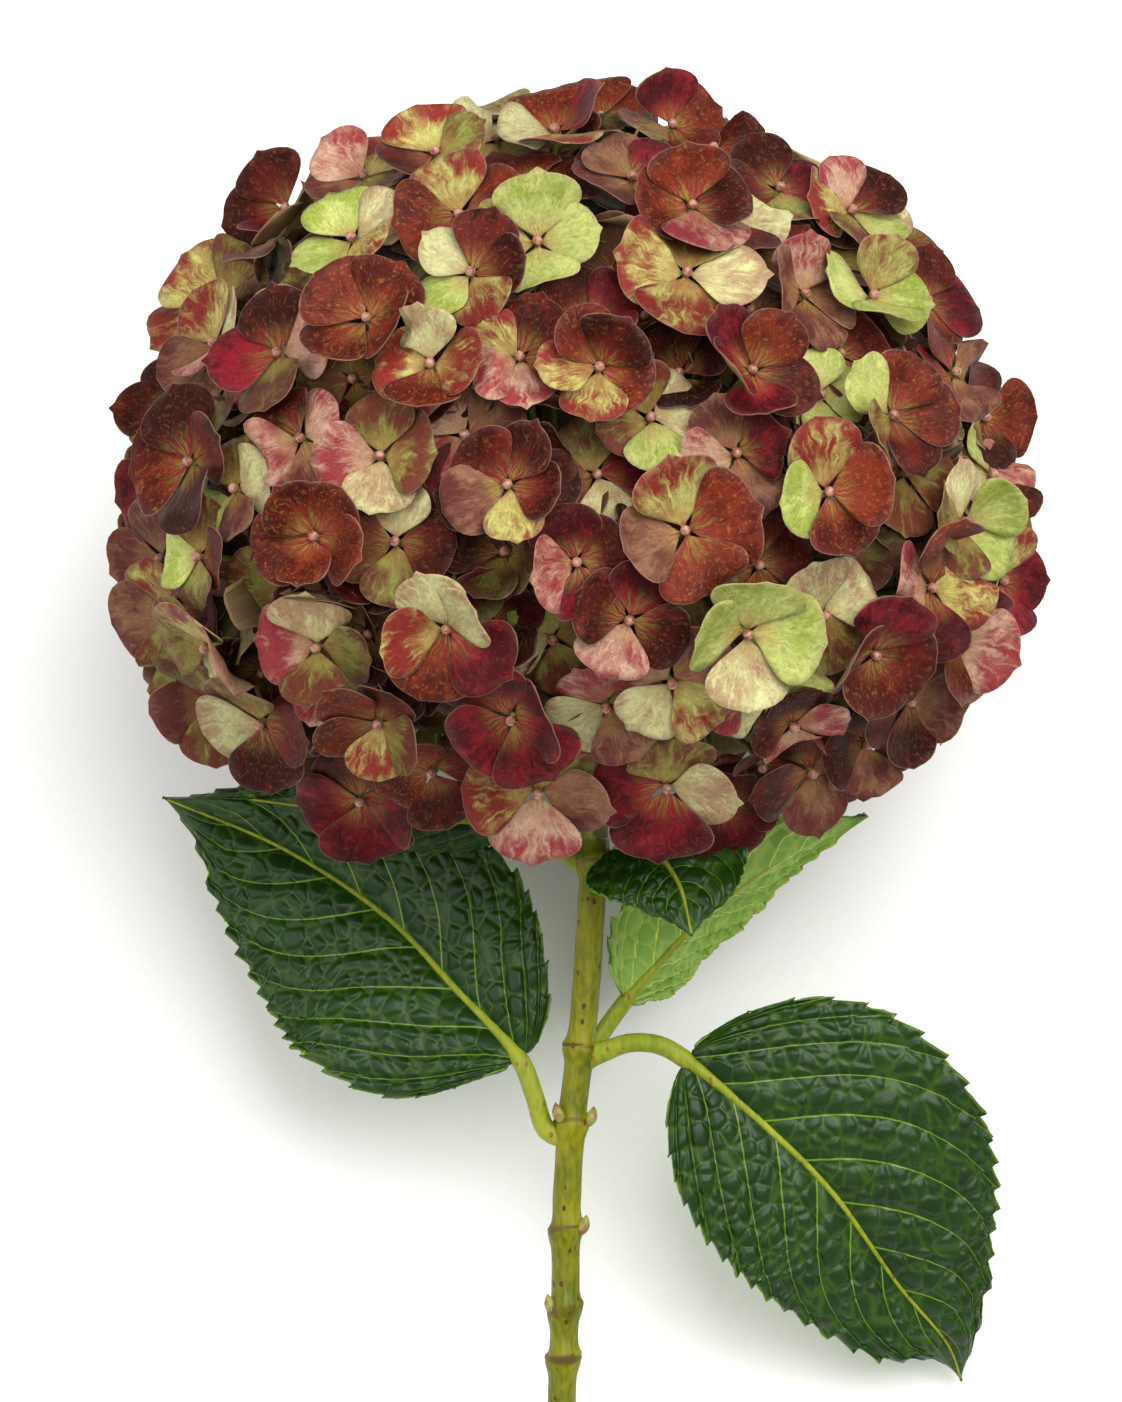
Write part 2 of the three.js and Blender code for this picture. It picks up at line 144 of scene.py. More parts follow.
def stem_place(turn, t):
    angle = 2 * math.pi * turn
    centre, _ = stem_path(t)
    off = from_node(centre.y)
    # A node is a low collar with a sharper lip on its upper side, and tilts a little from node to node.
    tilt = NODE_TILT * math.cos(angle + node_turn(centre.y))
    collar = math.exp(-(((off + tilt) / NODE_LENGTH) ** 2)) * NODE_SWELL
    lip = math.exp(-(((off + tilt - LIP_ABOVE) / LIP_LENGTH) ** 2)) * LIP_SWELL
    ribs = RIB_HEIGHT * math.cos(RIBS * angle)
    ribs += BARK_RELIEF * noise.noise(Vector((math.cos(angle), math.sin(angle), t * 30)))
    radius = STEM_RADIUS + collar + lip + ribs
    slant = CUT_SLOPE * min(1, max(0, (t - CUT_FROM) / (1 - CUT_FROM)))
    return centre + Vector((
        math.cos(angle) * radius, math.sin(angle) * radius * slant, math.sin(angle) * radius
    ))


def leaf_scar(p):
    """How much a point of the bark belongs to a scar: a thin crescent, deepest on one side of the node."""
    side = p.x * math.cos(node_turn(p.y)) + p.z * math.sin(node_turn(p.y))
    deep = SCAR_DEPTH * (1 + 0.5 * max(0, side))
    return math.exp(-(((from_node(p.y) - SCAR_ABOVE + SCAR_DIP * side) / deep) ** 2))


def on_pith(p):
    """Whether a point lies on the cut face, inside the bark."""
    return p.y < STEM_END[1] + 2 and math.hypot(p.x - STEM_END[0], p.z) < PITH_RADIUS


stem = rolled("stem", 28, 300, stem_place)
mark(stem, "scar", leaf_scar)
mark(stem, "cut", on_pith)


def linear(code):
    """An sRGB hex colour as linear RGBA."""
    channels = [int(code[i:i + 2], 16) / 255 for i in (1, 3, 5)]
    return [c / 12.92 if c <= 0.04045 else ((c + 0.055) / 1.055) ** 2.4 for c in channels] + [1]


def material(name):
    """A new material, with its node tree and its Principled shader."""
    made = bpy.data.materials.new(name)
    made.use_nodes = True
    return made, made.node_tree, made.node_tree.nodes["Principled BSDF"]


def add(tree, kind, sockets, output=0, **settings):
    """Adds a node and returns one of its outputs, or all of them for None. A socket's value is either
    another node's output, to be linked, or a constant."""
    made = tree.nodes.new("ShaderNode" + kind)
    for name, value in settings.items():
        setattr(made, name, value)
    for socket, value in sockets.items():
        if isinstance(value, bpy.types.NodeSocket):
            tree.links.new(value, made.inputs[socket])
        else:
            made.inputs[socket].default_value = value
    return made.outputs if output is None else made.outputs[output]


def stalk_skin(name, lit, shade, speck, scar_colour):
    """Living green bark: smooth, waxy, streaked along its length and dotted with corky brown pores."""
    made, tree, shader = material(name)
    place = add(tree, "TexCoord", {}, "Object")
    # Streaks a millimetre or so wide run with the stem, which is near enough the Y axis.
    along = add(tree, "Mapping", {"Vector": place, "Scale": (900, 60, 900)})
    streaks = add(tree, "TexNoise", {"Vector": along, "Scale": 1.0, "Detail": 3.0})
    patches = add(tree, "TexNoise", {"Vector": place, "Scale": 70.0, "Detail": 2.0})
    tone = add(tree, "Math", {0: streaks, 1: patches}, operation="ADD")
    tone = add(tree, "MapRange", {"Value": tone, "From Min": 0.75, "From Max": 1.25})
    green = add(tree, "Mix", {0: tone, 6: linear(shade), 7: linear(lit)}, 2, data_type="RGBA")
    # Pores: dots a millimetre wide, 3 to 5 mm apart and longer than they are wide.
    dots = add(tree, "Mapping", {"Vector": place, "Scale": (330, 190, 330)})
    pores = add(tree, "TexVoronoi", {"Vector": dots, "Scale": 1.0}, "Distance")
    pores = add(
        tree, "MapRange", {"Value": pores, "From Min": 0.21, "From Max": 0.12},
        interpolation_type="SMOOTHSTEP",
    )
    green = add(tree, "Mix", {0: pores, 6: green, 7: linear(speck)}, 2, data_type="RGBA")
    scar = add(tree, "Attribute", {}, "Fac", attribute_name="scar")
    rough_scar = add(tree, "Math", {0: scar, 1: patches}, operation="MULTIPLY")
    rough_scar = add(tree, "MapRange", {"Value": rough_scar, "From Min": 0.18, "From Max": 0.5})
    green = add(tree, "Mix", {0: rough_scar, 6: green, 7: linear(scar_colour)}, 2, data_type="RGBA")
    pith = add(tree, "Attribute", {}, "Fac", attribute_name="cut")
    green = add(tree, "Mix", {0: pith, 6: green, 7: linear("#c9cfa0")}, 2, data_type="RGBA")
    tree.links.new(green, shader.inputs["Base Color"])
    shader.inputs["Roughness"].default_value = 0.42
    shader.inputs["Specular IOR Level"].default_value = 0.2
    bump = add(tree, "Bump", {"Height": streaks, "Strength": 0.25, "Distance": 0.0004})
    tree.links.new(bump, shader.inputs["Normal"])
    return made


stem_bark = stalk_skin("green_stem_bark", "#7f7d08", "#4e5504", "#4e2c10", "#57401a")
stem.data.materials.append(stem_bark)
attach(stem, "root")
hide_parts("stem")

# ---------------------------------------------------------------- axil buds
# Small resting buds that sit on the nodes, each a pointed egg of two folded scales, green in brown
# patches. They grew out of the stem and are part of it.
BUDS = ((-4.3, -132.5, 3.5), (3.7, -133.5, 1.2), (1.9, -159.5, 2.2), (-6.2, -178.5, 1.6))
BUD_RADIUS, BUD_STRETCH, BUD_LEAN = 1.7, 1.5, 0.25
BUD_GROOVE = 0.12  # how far the radius drops where the two scales meet


def mottled_skin(name, tones, patches_to_metre, spread, roughness):
    """A plain skin in patches of two tones. spread is the stretch of the noise between the two."""
    made, tree, shader = material(name)
    place = add(tree, "TexCoord", {}, "Object")
    patches = add(tree, "TexNoise", {"Vector": place, "Scale": patches_to_metre})
    patches = add(tree, "MapRange", {"Value": patches, "From Min": spread[0], "From Max": spread[1]})
    tint = add(tree, "Mix", {0: patches, 6: linear(tones[0]), 7: linear(tones[1])}, 2, data_type="RGBA")
    tree.links.new(tint, shader.inputs["Base Color"])
    shader.inputs["Roughness"].default_value = roughness
    return made


bud_scale = mottled_skin("bud_scale", ("#8a8c34", "#7d5230"), 500, (0.4, 0.65), 0.45)

for number, spot in enumerate(BUDS, 1):
    lean = BUD_LEAN if spot[0] > 0 else -BUD_LEAN

    def bud_place(turn, t, spot=spot, lean=lean):
        angle = 2 * math.pi * turn
        radius = BUD_RADIUS * math.sin(math.pi * t) ** 0.7 * (1.25 - 0.6 * t)
        radius *= 1 - BUD_GROOVE * abs(math.cos(angle)) ** 8
        height = BUD_RADIUS * BUD_STRETCH * (2 * t - 1)
        return Vector(spot) + Vector((
            math.cos(angle) * radius + lean * height, height, math.sin(angle) * radius
        ))

    bud = rolled(f"axil_bud_{number}", 16, 12, bud_place)
    bud.data.materials.append(bud_scale)
    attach(bud, "root")

# ---------------------------------------------------------------- leaves
# Five leaves, each a leathery blade on a short thick stalk that runs on through the blade as its midrib.
# Side veins arch to the margin, a net of small veins quilts the blade between them, and the margin has
# forward-pointing teeth. They grew from the nodes in pairs.
PETIOLE_RADIUS = 1.5
BLADE_THICKNESS = 0.0005  # metres, as the modifier takes it
BLADE_SHOULDER, BLADE_POINT = 0.6, 1.05
BLADE_TRIM = 0.004  # the share of the length left out at either end, where the outline closes
POINT_FROM, POINT_PULL = 0.82, 0.45  # where the blade begins to draw out to its point, and how much
SIDE_VEINS = 8  # to the length of the blade
VEIN_SWEEP, VEIN_HOOK = 0.31, 0.13  # how far a side vein runs forward, evenly and then near the margin
VEIN_OFFSET = 0.35  # how far the left side's veins are ahead of the right side's, of the space between two
NET, NET_WIDTH = 4.4, 0.12  # mm between the small veins, and their width as a share of that
TEETH, TOOTH_WANDER = 19, 0.15  # to a side, and how unevenly they follow each other
# These are for a blade as long as LARGE_BLADE, and less on a smaller one.
LARGE_BLADE, TOOTH_DEPTH, MARGIN_WAVE, MARGIN_DROOP = 109, 1.7, 1.3, 2.6
CUSHION, GROOVE, GROOVE_WIDTH = 0.9, 0.5, 1.6  # how high the quilting stands, and the midrib's groove
CUSHION_EDGE = 1.9  # how steeply a cushion rises from the small vein beside it
RIB_TIP, FOOT, FOOT_LENGTH = 0.3, 1.3, 3  # the midrib's radius at its tip, and how its foot spreads
RIB_END, RIB_THINS, STALK_WIDENS = 0.985, 0.35, 0.25
RIB_SUNK, RIB_SINKS = 0.15, 0.55  # how far the midrib lies in the blade, in mm and as a share of its radius
LEAVES = (
    dict(
        name="leaf_left_large",
        petiole=((-7, -136.8, 0), (-10, -128.5, 1)),
        midrib=((-13.4, -120, 0), (-29, -103, -5), (-45, -86.5, -11), (-70, -70, -18), (-101, -57, -26)),
        root=(-1.5, -138.5, 0), left=38, right=30, face=(0.05, -0.1, 1), fold=9, across=150, along=230,
    ),
    dict(
        name="leaf_right_large",
        petiole=((6.2, -118, 1.5), (13, -115.7, 4), (20, -116.2, 6)),
        midrib=(
            (26, -119.5, 6), (44, -134.4, 5), (61, -151.2, 1), (78, -175, -9), (90, -189.6, -18),
            (94, -199.7, -26),
        ),
        root=(1.5, -119.5, 0), left=42, right=30, face=(0, 0.05, 1), fold=7, across=150, along=230,
    ),
    dict(
        name="leaf_right_folded",
        petiole=((6, -114, -5.6), (8.8, -110, -6)),
        midrib=((11.8, -106, -6), (17, -99.6, -7), (28, -88, -10), (45, -74.8, -17), (70, -60.5, -28)),
        root=(2, -119, -3), left=22, right=19, face=(-0.42, 0.57, -0.7), fold=22, across=90, along=180,
    ),
    dict(
        name="leaf_right_small",
        petiole=((9, -72.5, 2.5), (12, -67.5, 8)),
        midrib=((14.5, -67.2, 14.6), (19.5, -70.2, 23.2), (24.5, -77.4, 29.4), (27.4, -89.3, 34)),
        root=(4.5, -74, 0), left=21, right=20, face=(0, 0.6, 0.8), fold=5, across=80, along=90,
    ),
    dict(
        name="leaf_left_small",
        petiole=((-0.6, -72, -3.4), (-6, -66.5, -2)),
        midrib=((-12, -64, -0.5), (-30, -62.5, 2), (-54, -60.5, 1), (-79, -57.5, -3)),
        root=(3.5, -73.5, -1.5), left=9, right=7, face=(0.1, -0.5, 0.85), fold=12, across=40, along=110,
    ),
)


def blade_shape(s):
    """Half the width at a share s of the length, of 1. The last part is drawn out to a point."""
    widest = BLADE_SHOULDER / (BLADE_SHOULDER + BLADE_POINT)
    peak = widest ** BLADE_SHOULDER * (1 - widest) ** BLADE_POINT
    drawn_out = 1 - POINT_PULL * max(0, (s - POINT_FROM) / (1 - POINT_FROM)) ** 0.7
    return s ** BLADE_SHOULDER * (1 - s) ** BLADE_POINT / peak * drawn_out


def leaf_axis(leaf):
    """The path through stalk and blade, the share of it where the blade starts, and the blade's length."""
    path = smooth_path((leaf["root"],) + leaf["petiole"] + leaf["midrib"])
    blade_length = smooth_path(leaf["midrib"]).length
    return path, 1 - blade_length / path.length, blade_length


def leaf_frame(leaf, path, t):
    """Place, and the directions across the leaf and out of its upper face, at a share t of the path."""
    centre, along = path(t)
    over = Vector(leaf["face"])
    over = (over - along * over.dot(along)).normalized()
    return centre, over.cross(along), over


def blade_place(leaf, path, blade_from, blade_length, a, s):
    """Where a point of the blade lies, with its relief, and how deep in the net of veins it is."""
    centre, across, over = leaf_frame(leaf, path, blade_from + (1 - blade_from) * s)
    half = (leaf["left"] if a > 0 else leaf["right"]) * blade_shape(s)
    edge = abs(a)
    scale = blade_length / LARGE_BLADE
    tooth = (s * TEETH + TOOTH_WANDER * math.sin(9 * s + a)) % 1
    tooth_reach = TOOTH_DEPTH * scale * (tooth ** 1.4 - 0.5) * min(1, half / (10 * scale)) * edge ** 9
    out = half * edge + tooth_reach
    # Side veins are sunk, the cells of the net between them stand up as small cushions.
    vein = (s - VEIN_SWEEP * edge - VEIN_HOOK * edge ** 3) * SIDE_VEINS + VEIN_OFFSET * (a > 0)
    from_vein = abs((vein + 0.5) % 1 - 0.5) * 2
    cell = Vector((s * blade_length / NET, out / NET, 5 * (a > 0)))
    near, second = noise.voronoi(cell)[0][:2]
    cushion = min(1, (second - near) * CUSHION_EDGE)
    cushion = cushion * (2 - cushion)
    fade = min(1, out / 5) * min(1, half / 12)
    relief = CUSHION * (cushion + min(1, from_vein * 2)) * fade
    relief -= GROOVE * math.exp(-((out / GROOVE_WIDTH) ** 2))
    lift = math.tan(math.radians(leaf["fold"])) * out
    wave = MARGIN_WAVE * scale * math.sin(s * 16 + 2 * (a > 0)) * edge ** 2 * min(1, half / 15)
    droop = -MARGIN_DROOP * scale * edge ** 3
    sign = 1 if a > 0 else -1
    forward = path(blade_from + (1 - blade_from) * s)[1] * (tooth_reach * 0.5 * edge ** 6)
    spot = centre + across * (sign * out) + over * (lift + relief + wave + droop) + forward
    return spot, 1 - min(1, (second - near) / NET_WIDTH)


def leaf_blade(leaf):
    path, blade_from, blade_length = leaf_axis(leaf)
    bpy.ops.mesh.primitive_grid_add(x_subdivisions=leaf["across"], y_subdivisions=leaf["along"], size=1)
    blade = bpy.context.object
    blade.name = blade.data.name = leaf["name"]
    net = blade.data.attributes.new("net", "FLOAT", "POINT")
    for vertex, entry in zip(blade.data.vertices, net.data):
        a, s = -2 * vertex.co.x, BLADE_TRIM + (1 - 2 * BLADE_TRIM) * (vertex.co.y + 0.5)
        spot, entry.value = blade_place(leaf, path, blade_from, blade_length, a, s)
        vertex.co = lie @ spot
    blade.location = (0, 0, 0)
    bpy.ops.object.mode_set(mode="EDIT")
    bpy.ops.mesh.select_all(action="SELECT")
    bpy.ops.mesh.remove_doubles(threshold=0.00002)
    bpy.ops.object.mode_set(mode="OBJECT")
    bpy.ops.object.shade_smooth()
    wall = blade.modifiers.new("thickness", "SOLIDIFY")
    wall.thickness = BLADE_THICKNESS
    wall.offset = -1
    wall.material_offset = 1
    wall.material_offset_rim = 0
    return blade


def leaf_midrib(leaf):
    """The leaf stalk, flattened on top, running on through the blade as its midrib."""
    path, blade_from, _ = leaf_axis(leaf)

    def rib_place(turn, t):
        angle = 2 * math.pi * turn
        centre, across, over = leaf_frame(leaf, path, t * RIB_END)
        s = max(0, (t - blade_from) / (1 - blade_from))
        thin = PETIOLE_RADIUS * (1 - RIB_THINS * min(1, s * 8)) * (1 - s) ** 1.3 + RIB_TIP
        thin += FOOT * math.exp(-t * path.length / FOOT_LENGTH)
        wide = thin * (1 + STALK_WIDENS * (s < 0.02))
        sunk = -RIB_SUNK - RIB_SINKS * thin * min(1, s * 6)
        return centre + across * (math.cos(angle) * wide) + over * (math.sin(angle) * thin + sunk)

    return rolled(leaf["name"] + "_midrib", 12, 90, rib_place)


def leaf_skin(name, deep, fresh, vein_colour, roughness, net_share):
    """Leathery leaf: a waxed dark cuticle over a pale net of veins, fresher green along veins and edge."""
    made, tree, shader = material(name)
    across, along = add(tree, "SeparateXYZ", {0: add(tree, "UVMap", {})}, None)[:2]
    side = add(tree, "MapRange", {"Value": across, "To Min": 1.0, "To Max": -1.0})
    edge = add(tree, "Math", {0: side}, operation="ABSOLUTE")
    cube = add(tree, "Math", {0: edge, 1: 3.0}, operation="POWER")
    hook = add(tree, "Math", {0: cube, 1: -VEIN_HOOK, 2: along}, operation="MULTIPLY_ADD")
    swept = add(tree, "Math", {0: edge, 1: -VEIN_SWEEP, 2: hook}, operation="MULTIPLY_ADD")
    left = add(tree, "Math", {0: side, 1: 0.0}, operation="GREATER_THAN")
    offset = add(tree, "Math", {0: left, 1: VEIN_OFFSET}, operation="MULTIPLY")
    veins = add(tree, "Math", {0: swept, 1: SIDE_VEINS, 2: offset}, operation="MULTIPLY_ADD")
    # distance to the nearest side vein: 0 on it, 0.5 half way to the next
    from_vein = add(tree, "Math", {0: veins, 1: 0.5}, operation="PINGPONG")
    thick = add(tree, "MapRange", {"Value": edge, "To Min": 0.024, "To Max": 0.010})
    line = add(tree, "Math", {0: from_vein, 1: thick}, operation="DIVIDE")
    line = add(
        tree, "MapRange", {"Value": line, "From Min": 1.3, "From Max": 0.5},
        interpolation_type="SMOOTHSTEP",
    )
    net = add(tree, "Attribute", {}, "Fac", attribute_name="net")
    net = add(tree, "Math", {0: net, 1: net_share}, operation="MULTIPLY")
    place = add(tree, "TexCoord", {}, "Object")
    patches = add(tree, "TexNoise", {"Vector": place, "Scale": 90.0, "Detail": 3.0})
    patches = add(tree, "MapRange", {"Value": patches, "From Min": 0.35, "From Max": 0.7})
    green = add(tree, "Mix", {0: patches, 6: linear(deep), 7: linear(fresh)}, 2, data_type="RGBA")
    rim = add(
        tree, "MapRange", {"Value": edge, "From Min": 0.975, "From Max": 1.0, "To Max": 0.6},
        interpolation_type="SMOOTHSTEP",
    )
    drawn = add(tree, "Math", {0: line, 1: net}, operation="MAXIMUM")
    drawn = add(tree, "Math", {0: drawn, 1: rim}, operation="MAXIMUM")
    green = add(tree, "Mix", {0: drawn, 6: green, 7: linear(vein_colour)}, 2, data_type="RGBA")
    tree.links.new(green, shader.inputs["Base Color"])
    shader.inputs["Roughness"].default_value = roughness
    shader.inputs["Specular IOR Level"].default_value = 0.28
    # The cuticle's own fine grain, under a millimetre wide.
    grain = add(tree, "TexNoise", {"Vector": place, "Scale": 1400.0, "Detail": 2.0})
    bump = add(tree, "Bump", {"Height": grain, "Strength": 0.25, "Distance": 0.0002})
    tree.links.new(bump, shader.inputs["Normal"])
    return made


leaf_upper = leaf_skin("waxy_leaf_upper_side", "#0f2a02", "#183804", "#64841c", 0.36, 0.2)
leaf_under = leaf_skin("matt_leaf_underside", "#6a8e36", "#7ea042", "#bcc45c", 0.6, 0.3)
petiole_skin = stalk_skin("leaf_stalk_skin", "#8f9628", "#6c7a18", "#7f5a22", "#7f6a30")

for leaf in LEAVES:
    blade = leaf_blade(leaf)
    blade.data.materials.append(leaf_upper)
    blade.data.materials.append(leaf_under)
    bpy.ops.object.modifier_apply(modifier="thickness")
    blade.select_set(False)
    rib = leaf_midrib(leaf)
    rib.data.materials.append(petiole_skin)
    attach(blade, "root")
    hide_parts(leaf["name"])
    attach(rib, "root")

# ---------------------------------------------------------------- where the florets sit
# The head is a dome of small flowers, each on its own stalk. Those that face up are listed one by one, the
# rest along a golden-angle spiral from the crown to the open underside, and two more layers sit deeper
# in the gaps. Where a floret would pass through the table it slides back towards the rays.
RAY_APEX = Vector((0, -20, 0))
RAY_COUNT, RAY_TO_POLAR, RAY_LENGTH, RAY_GROUPINGS = 42, 114, 34, 5
FORK_AT = 0.42
FLORET_INSET = 8
SPIRAL_FLORETS, SPIRAL_TO_POLAR, SPIRAL_NEAREST = 168, 122, 19
SPIRAL_ACROSS, SPIRAL_VARIES = 31, 3
GOLDEN_ANGLE = math.pi * (3 - math.sqrt(5))

half_across = HEAD_ACROSS / 2 - FLORET_INSET
up_from_table = Vector((0, math.sin(lean_back), math.cos(lean_back)))


def half_height(y):
    """How far the dome of florets reaches on that side of the middle of the head, above or below."""
    return (HEAD_ABOVE if y > 0 else HEAD_BELOW) - FLORET_INSET


def rest_on_table(spot):
    """A place that would be inside the table, slid back to its surface along the way to the rays."""
    height = spot.dot(up_from_table) + BEDDING
    if height >= 0:
        return spot
    return spot.lerp(RAY_APEX, -height / (RAY_APEX.dot(up_from_table) + BEDDING - height))


def spiral_way(i, count, to_polar):
    """One of `count` even directions from the crown of the head to this many degrees away from it."""
    polar_cosine = 1 - (1 - math.cos(math.radians(to_polar))) * ((i + 0.5) / count)
    ring = math.sqrt(1 - polar_cosine ** 2)
    return Vector((ring * math.cos(i * GOLDEN_ANGLE), polar_cosine, ring * math.sin(i * GOLDEN_ANGLE)))


def make_floret(spot, across, turn, inset, tints, layer):
    """A floret's own frame: its middle, which way it faces, and what it looks like."""
    face = Vector((
        spot.x / half_across ** 2, spot.y / half_height(spot.y) ** 2, spot.z / half_across ** 2
    )).normalized()
    middle = rest_on_table(spot - face * inset)
    side = Vector((1, 0, 0)) - face * face.x
    if side.length < 0.2:
        side = Vector((0, 0, 1)) - face * face.z
    side.normalize()
    bearing = (middle - RAY_APEX).normalized()
    return dict(
        middle=middle, face=face, side=side, up=face.cross(side), bearing=bearing, across=across,
        turn=turn, inset=inset, tints=tints, layer=layer,
    )


def on_dome(way):
    """Where a direction from the middle of the head meets the dome."""
    return way / math.hypot(way.x / half_across, way.y / half_height(way.y), way.z / half_across)


# x and y across the head, width, turn of the first petal, depth below the outline, and the tint of each
# petal: g lime, k cream, o olive, b blotched, r rust, w wine, c crimson, p pink, m mauve
FACING_FLORETS = (
    (-52, 74, 31, 25, 0, "kggb"), (-47, 53, 32, 50, -2, "rrrr"), (-69, 84, 34, 0, 0, "bwwc"),
    (-50, 90, 31, 40, 0, "bpmo"), (-33, 95, 31, 20, 0, "obwb"), (-86, 62, 36, 30, 0, "obbm"),
    (-75, 54, 26, 10, 4, "okpb"), (-86, 51, 31, 15, 1, "kbmp"), (-66, 65, 29, 20, 6, "wokw"),
    (-69, 47, 34, 0, 0, "pwco"), (-99, 37, 29, 0, 2, "wwwo"), (-87, 39, 26, 10, 3, "pmko"),
    (-89, 22, 36, 10, -1, "wwrw"), (-102, 16, 29, 0, 3, "wwcw"), (-81, 16, 29, 15, 2, "kogm"),
    (-78, 30, 26, 0, 12, "oooo"), (-66, 28, 29, 30, 3, "pwpm"), (-46, 23, 31, 0, 2, "oopk"),
    (-58, 4, 32, 55, -3, "rrrrr"), (-73, 5, 26, 60, 8, "owwo"), (-43, 3, 31, 0, 3, "wkoo"),
    (-89, 0, 29, 0, 1, "wogo"), (-100, 0, 31, 10, 2, "wmmr"), (-97, -14, 31, 20, 1, "wbmo"),
    (-95, -25, 29, 30, 1, "omob"), (-87, -33, 31, 20, 0, "momo"), (-74, -38, 34, 20, 0, "wokw"),
    (-78, -12, 29, 0, 10, "wwow"), (-62, -23, 31, 10, 3, "okpo"), (-61, -33, 24, 0, 5, "oopp"),
    (-45, -36, 31, -5, -2, "owrrb"), (-51, -54, 34, 10, 0, "cwcc"), (-29, -16, 35, -30, -2, "ckkbr"),
    (-15, -37, 34, 30, 0, "cccc"), (-9, -52, 35, -5, 0, "mobp"), (0, -2, 30, 20, 0, "wcpc"),
    (-6, -26, 29, 20, 9, "ogko"), (7, -37, 30, 35, 3, "mpkm"), (12, -15, 31, -25, 0, "wcwp"),
    (22, -30, 32, -40, 1, "bmpk"), (21, -51, 35, 0, 0, "kocc"), (-35, -52, 30, 30, 4, "wrrw"),
    (-33, 43, 31, -5, -1, "bkbr"), (-13, 45, 30, -5, 0, "wwbpp"), (5, 41, 31, -25, -3, "rwrbb"),
    (-15, 15, 31, -10, -3, "wwwmb"), (-27, 29, 29, 40, 5, "mppm"), (5, 20, 28, 20, 8, "cowk"),
    (24, 5, 34, 20, -2, "rbmr"), (18, 33, 29, 20, 5, "koog"), (-24, 64, 31, 0, -1, "wwkgb"),
    (-27, 79, 34, 10, 0, "rbrc"), (-10, 89, 32, 20, 3, "wwwo"), (-19, 101, 30, 55, 2, "kkbo"),
    (-5, 100, 31, 10, 0, "crkb"), (6, 108, 31, 20, 2, "rrro"), (-9, 72, 31, 5, 0, "ggbg"),
    (13, 89, 30, 40, 1, "cmmw"), (26, 79, 32, 15, -2, "wrrp"), (38, 83, 31, 10, 4, "kbww"),
    (23, 104, 29, 30, 1, "rcow"), (25, 64, 36, -5, -1, "kobb"), (3, 58, 30, 40, 6, "cwwc"),
    (39, 41, 32, -15, -2, "wrccc"), (33, 99, 28, 30, 2, "wcrw"), (49, 89, 31, 30, 2, "cwwo"),
    (64, 81, 31, -10, -1, "gwpbo"), (68, 60, 32, 5, -1, "gbgg"), (76, 74, 29, 20, 1, "okok"),
    (84, 62, 30, 10, 1, "cwwr"), (54, 62, 30, 15, 2, "mpmm"), (52, 74, 28, 10, 5, "wwcw"),
    (64, 49, 29, 30, 4, "wwcw"), (72, 32, 34, 10, -1, "rrgow"), (90, 44, 31, 30, 1, "mwcm"),
    (98, 34, 30, 15, 1, "rwow"), (59, 39, 22, 10, 4, "ggkg"), (38, 24, 30, 20, 3, "cmpm"),
    (56, 14, 34, 15, -2, "rbgr"), (38, -17, 34, -10, -2, "gggk"), (59, -15, 31, 25, 3, "kkoo"),
    (68, -22, 34, -25, -1, "wcwr"), (81, -7, 35, -5, -1, "brpc"), (89, 8, 32, -35, -1, "ggkoo"),
    (99, 7, 31, 20, 2, "bbmo"), (102, -5, 30, 0, 1, "cbgc"), (79, 20, 30, 0, 3, "okmo"),
    (99, 20, 31, 20, 1, "pgkw"), (45, -3, 29, 20, 6, "wwrr"), (89, -19, 34, -30, 0, "pcwr"),
    (79, -34, 34, -20, 1, "mwww"), (52, -28, 30, 10, 5, "ogog"), (41, -36, 24, 30, 5, "kopk"),
    (52, -41, 26, 0, 3, "pwwp"), (69, -43, 30, -10, 1, "wwwm"), (56, -49, 34, 0, 1, "mwwm"),
    (35, -57, 30, 10, 2, "cwwc"), (45, -51, 24, 20, 4, "rwrc"),
)
# How far these turn from the outline of the head towards the side that faces up, and how much further the
# ones on its edge turn.
FACING_LEAN, EDGE_LEAN, EDGE_DEPTH = 0.33, 0.5, 0.15
HANG_FROM, HANG_FULLY = -33, -58  # between these heights they begin to droop, and face up more
HANG, HANG_LEAN = 3.5, 0.7
INSET_SCALE = 1.3
OUT_OF_HEAD = Vector((0, 0, 1))
florets = []
for x, y, across, turn, inset, tints in FACING_FLORETS:
    rest = 1 - (x / half_across) ** 2 - (y / half_height(y)) ** 2
    spot = Vector((x, y, half_across * math.sqrt(max(rest, 0))))
    floret = make_floret(spot, across, turn, inset * INSET_SCALE, tints, 0)
    hanging = min(1, max(0, (HANG_FROM - y) / (HANG_FROM - HANG_FULLY)))
    lean = FACING_LEAN + HANG_LEAN * hanging + EDGE_LEAN * min(1, max(0, 1 - rest / EDGE_DEPTH))
    floret["face"] = (floret["face"] + lean * OUT_OF_HEAD).normalized()
    floret["middle"].y -= HANG * hanging
    floret["side"] = (Vector((1, 0, 0)) - floret["face"] * floret["face"].x).normalized()
    floret["up"] = floret["face"].cross(floret["side"])
    florets.append(floret)

# The unseen sides carry the same mix of florets: each copies the tints of one that faces up.
facing = list(florets)
for i in range(SPIRAL_FLORETS):
    spot = on_dome(spiral_way(i, SPIRAL_FLORETS, SPIRAL_TO_POLAR))
    if any((floret["middle"] - spot).length < SPIRAL_NEAREST for floret in facing):
        continue
    tints = FACING_FLORETS[(i * 29) % len(FACING_FLORETS)][5][:4]
    across = SPIRAL_ACROSS + SPIRAL_VARIES * math.sin(i * 2.3)
    florets.append(make_floret(spot, across, i * 37, i % 3, tints, 0))

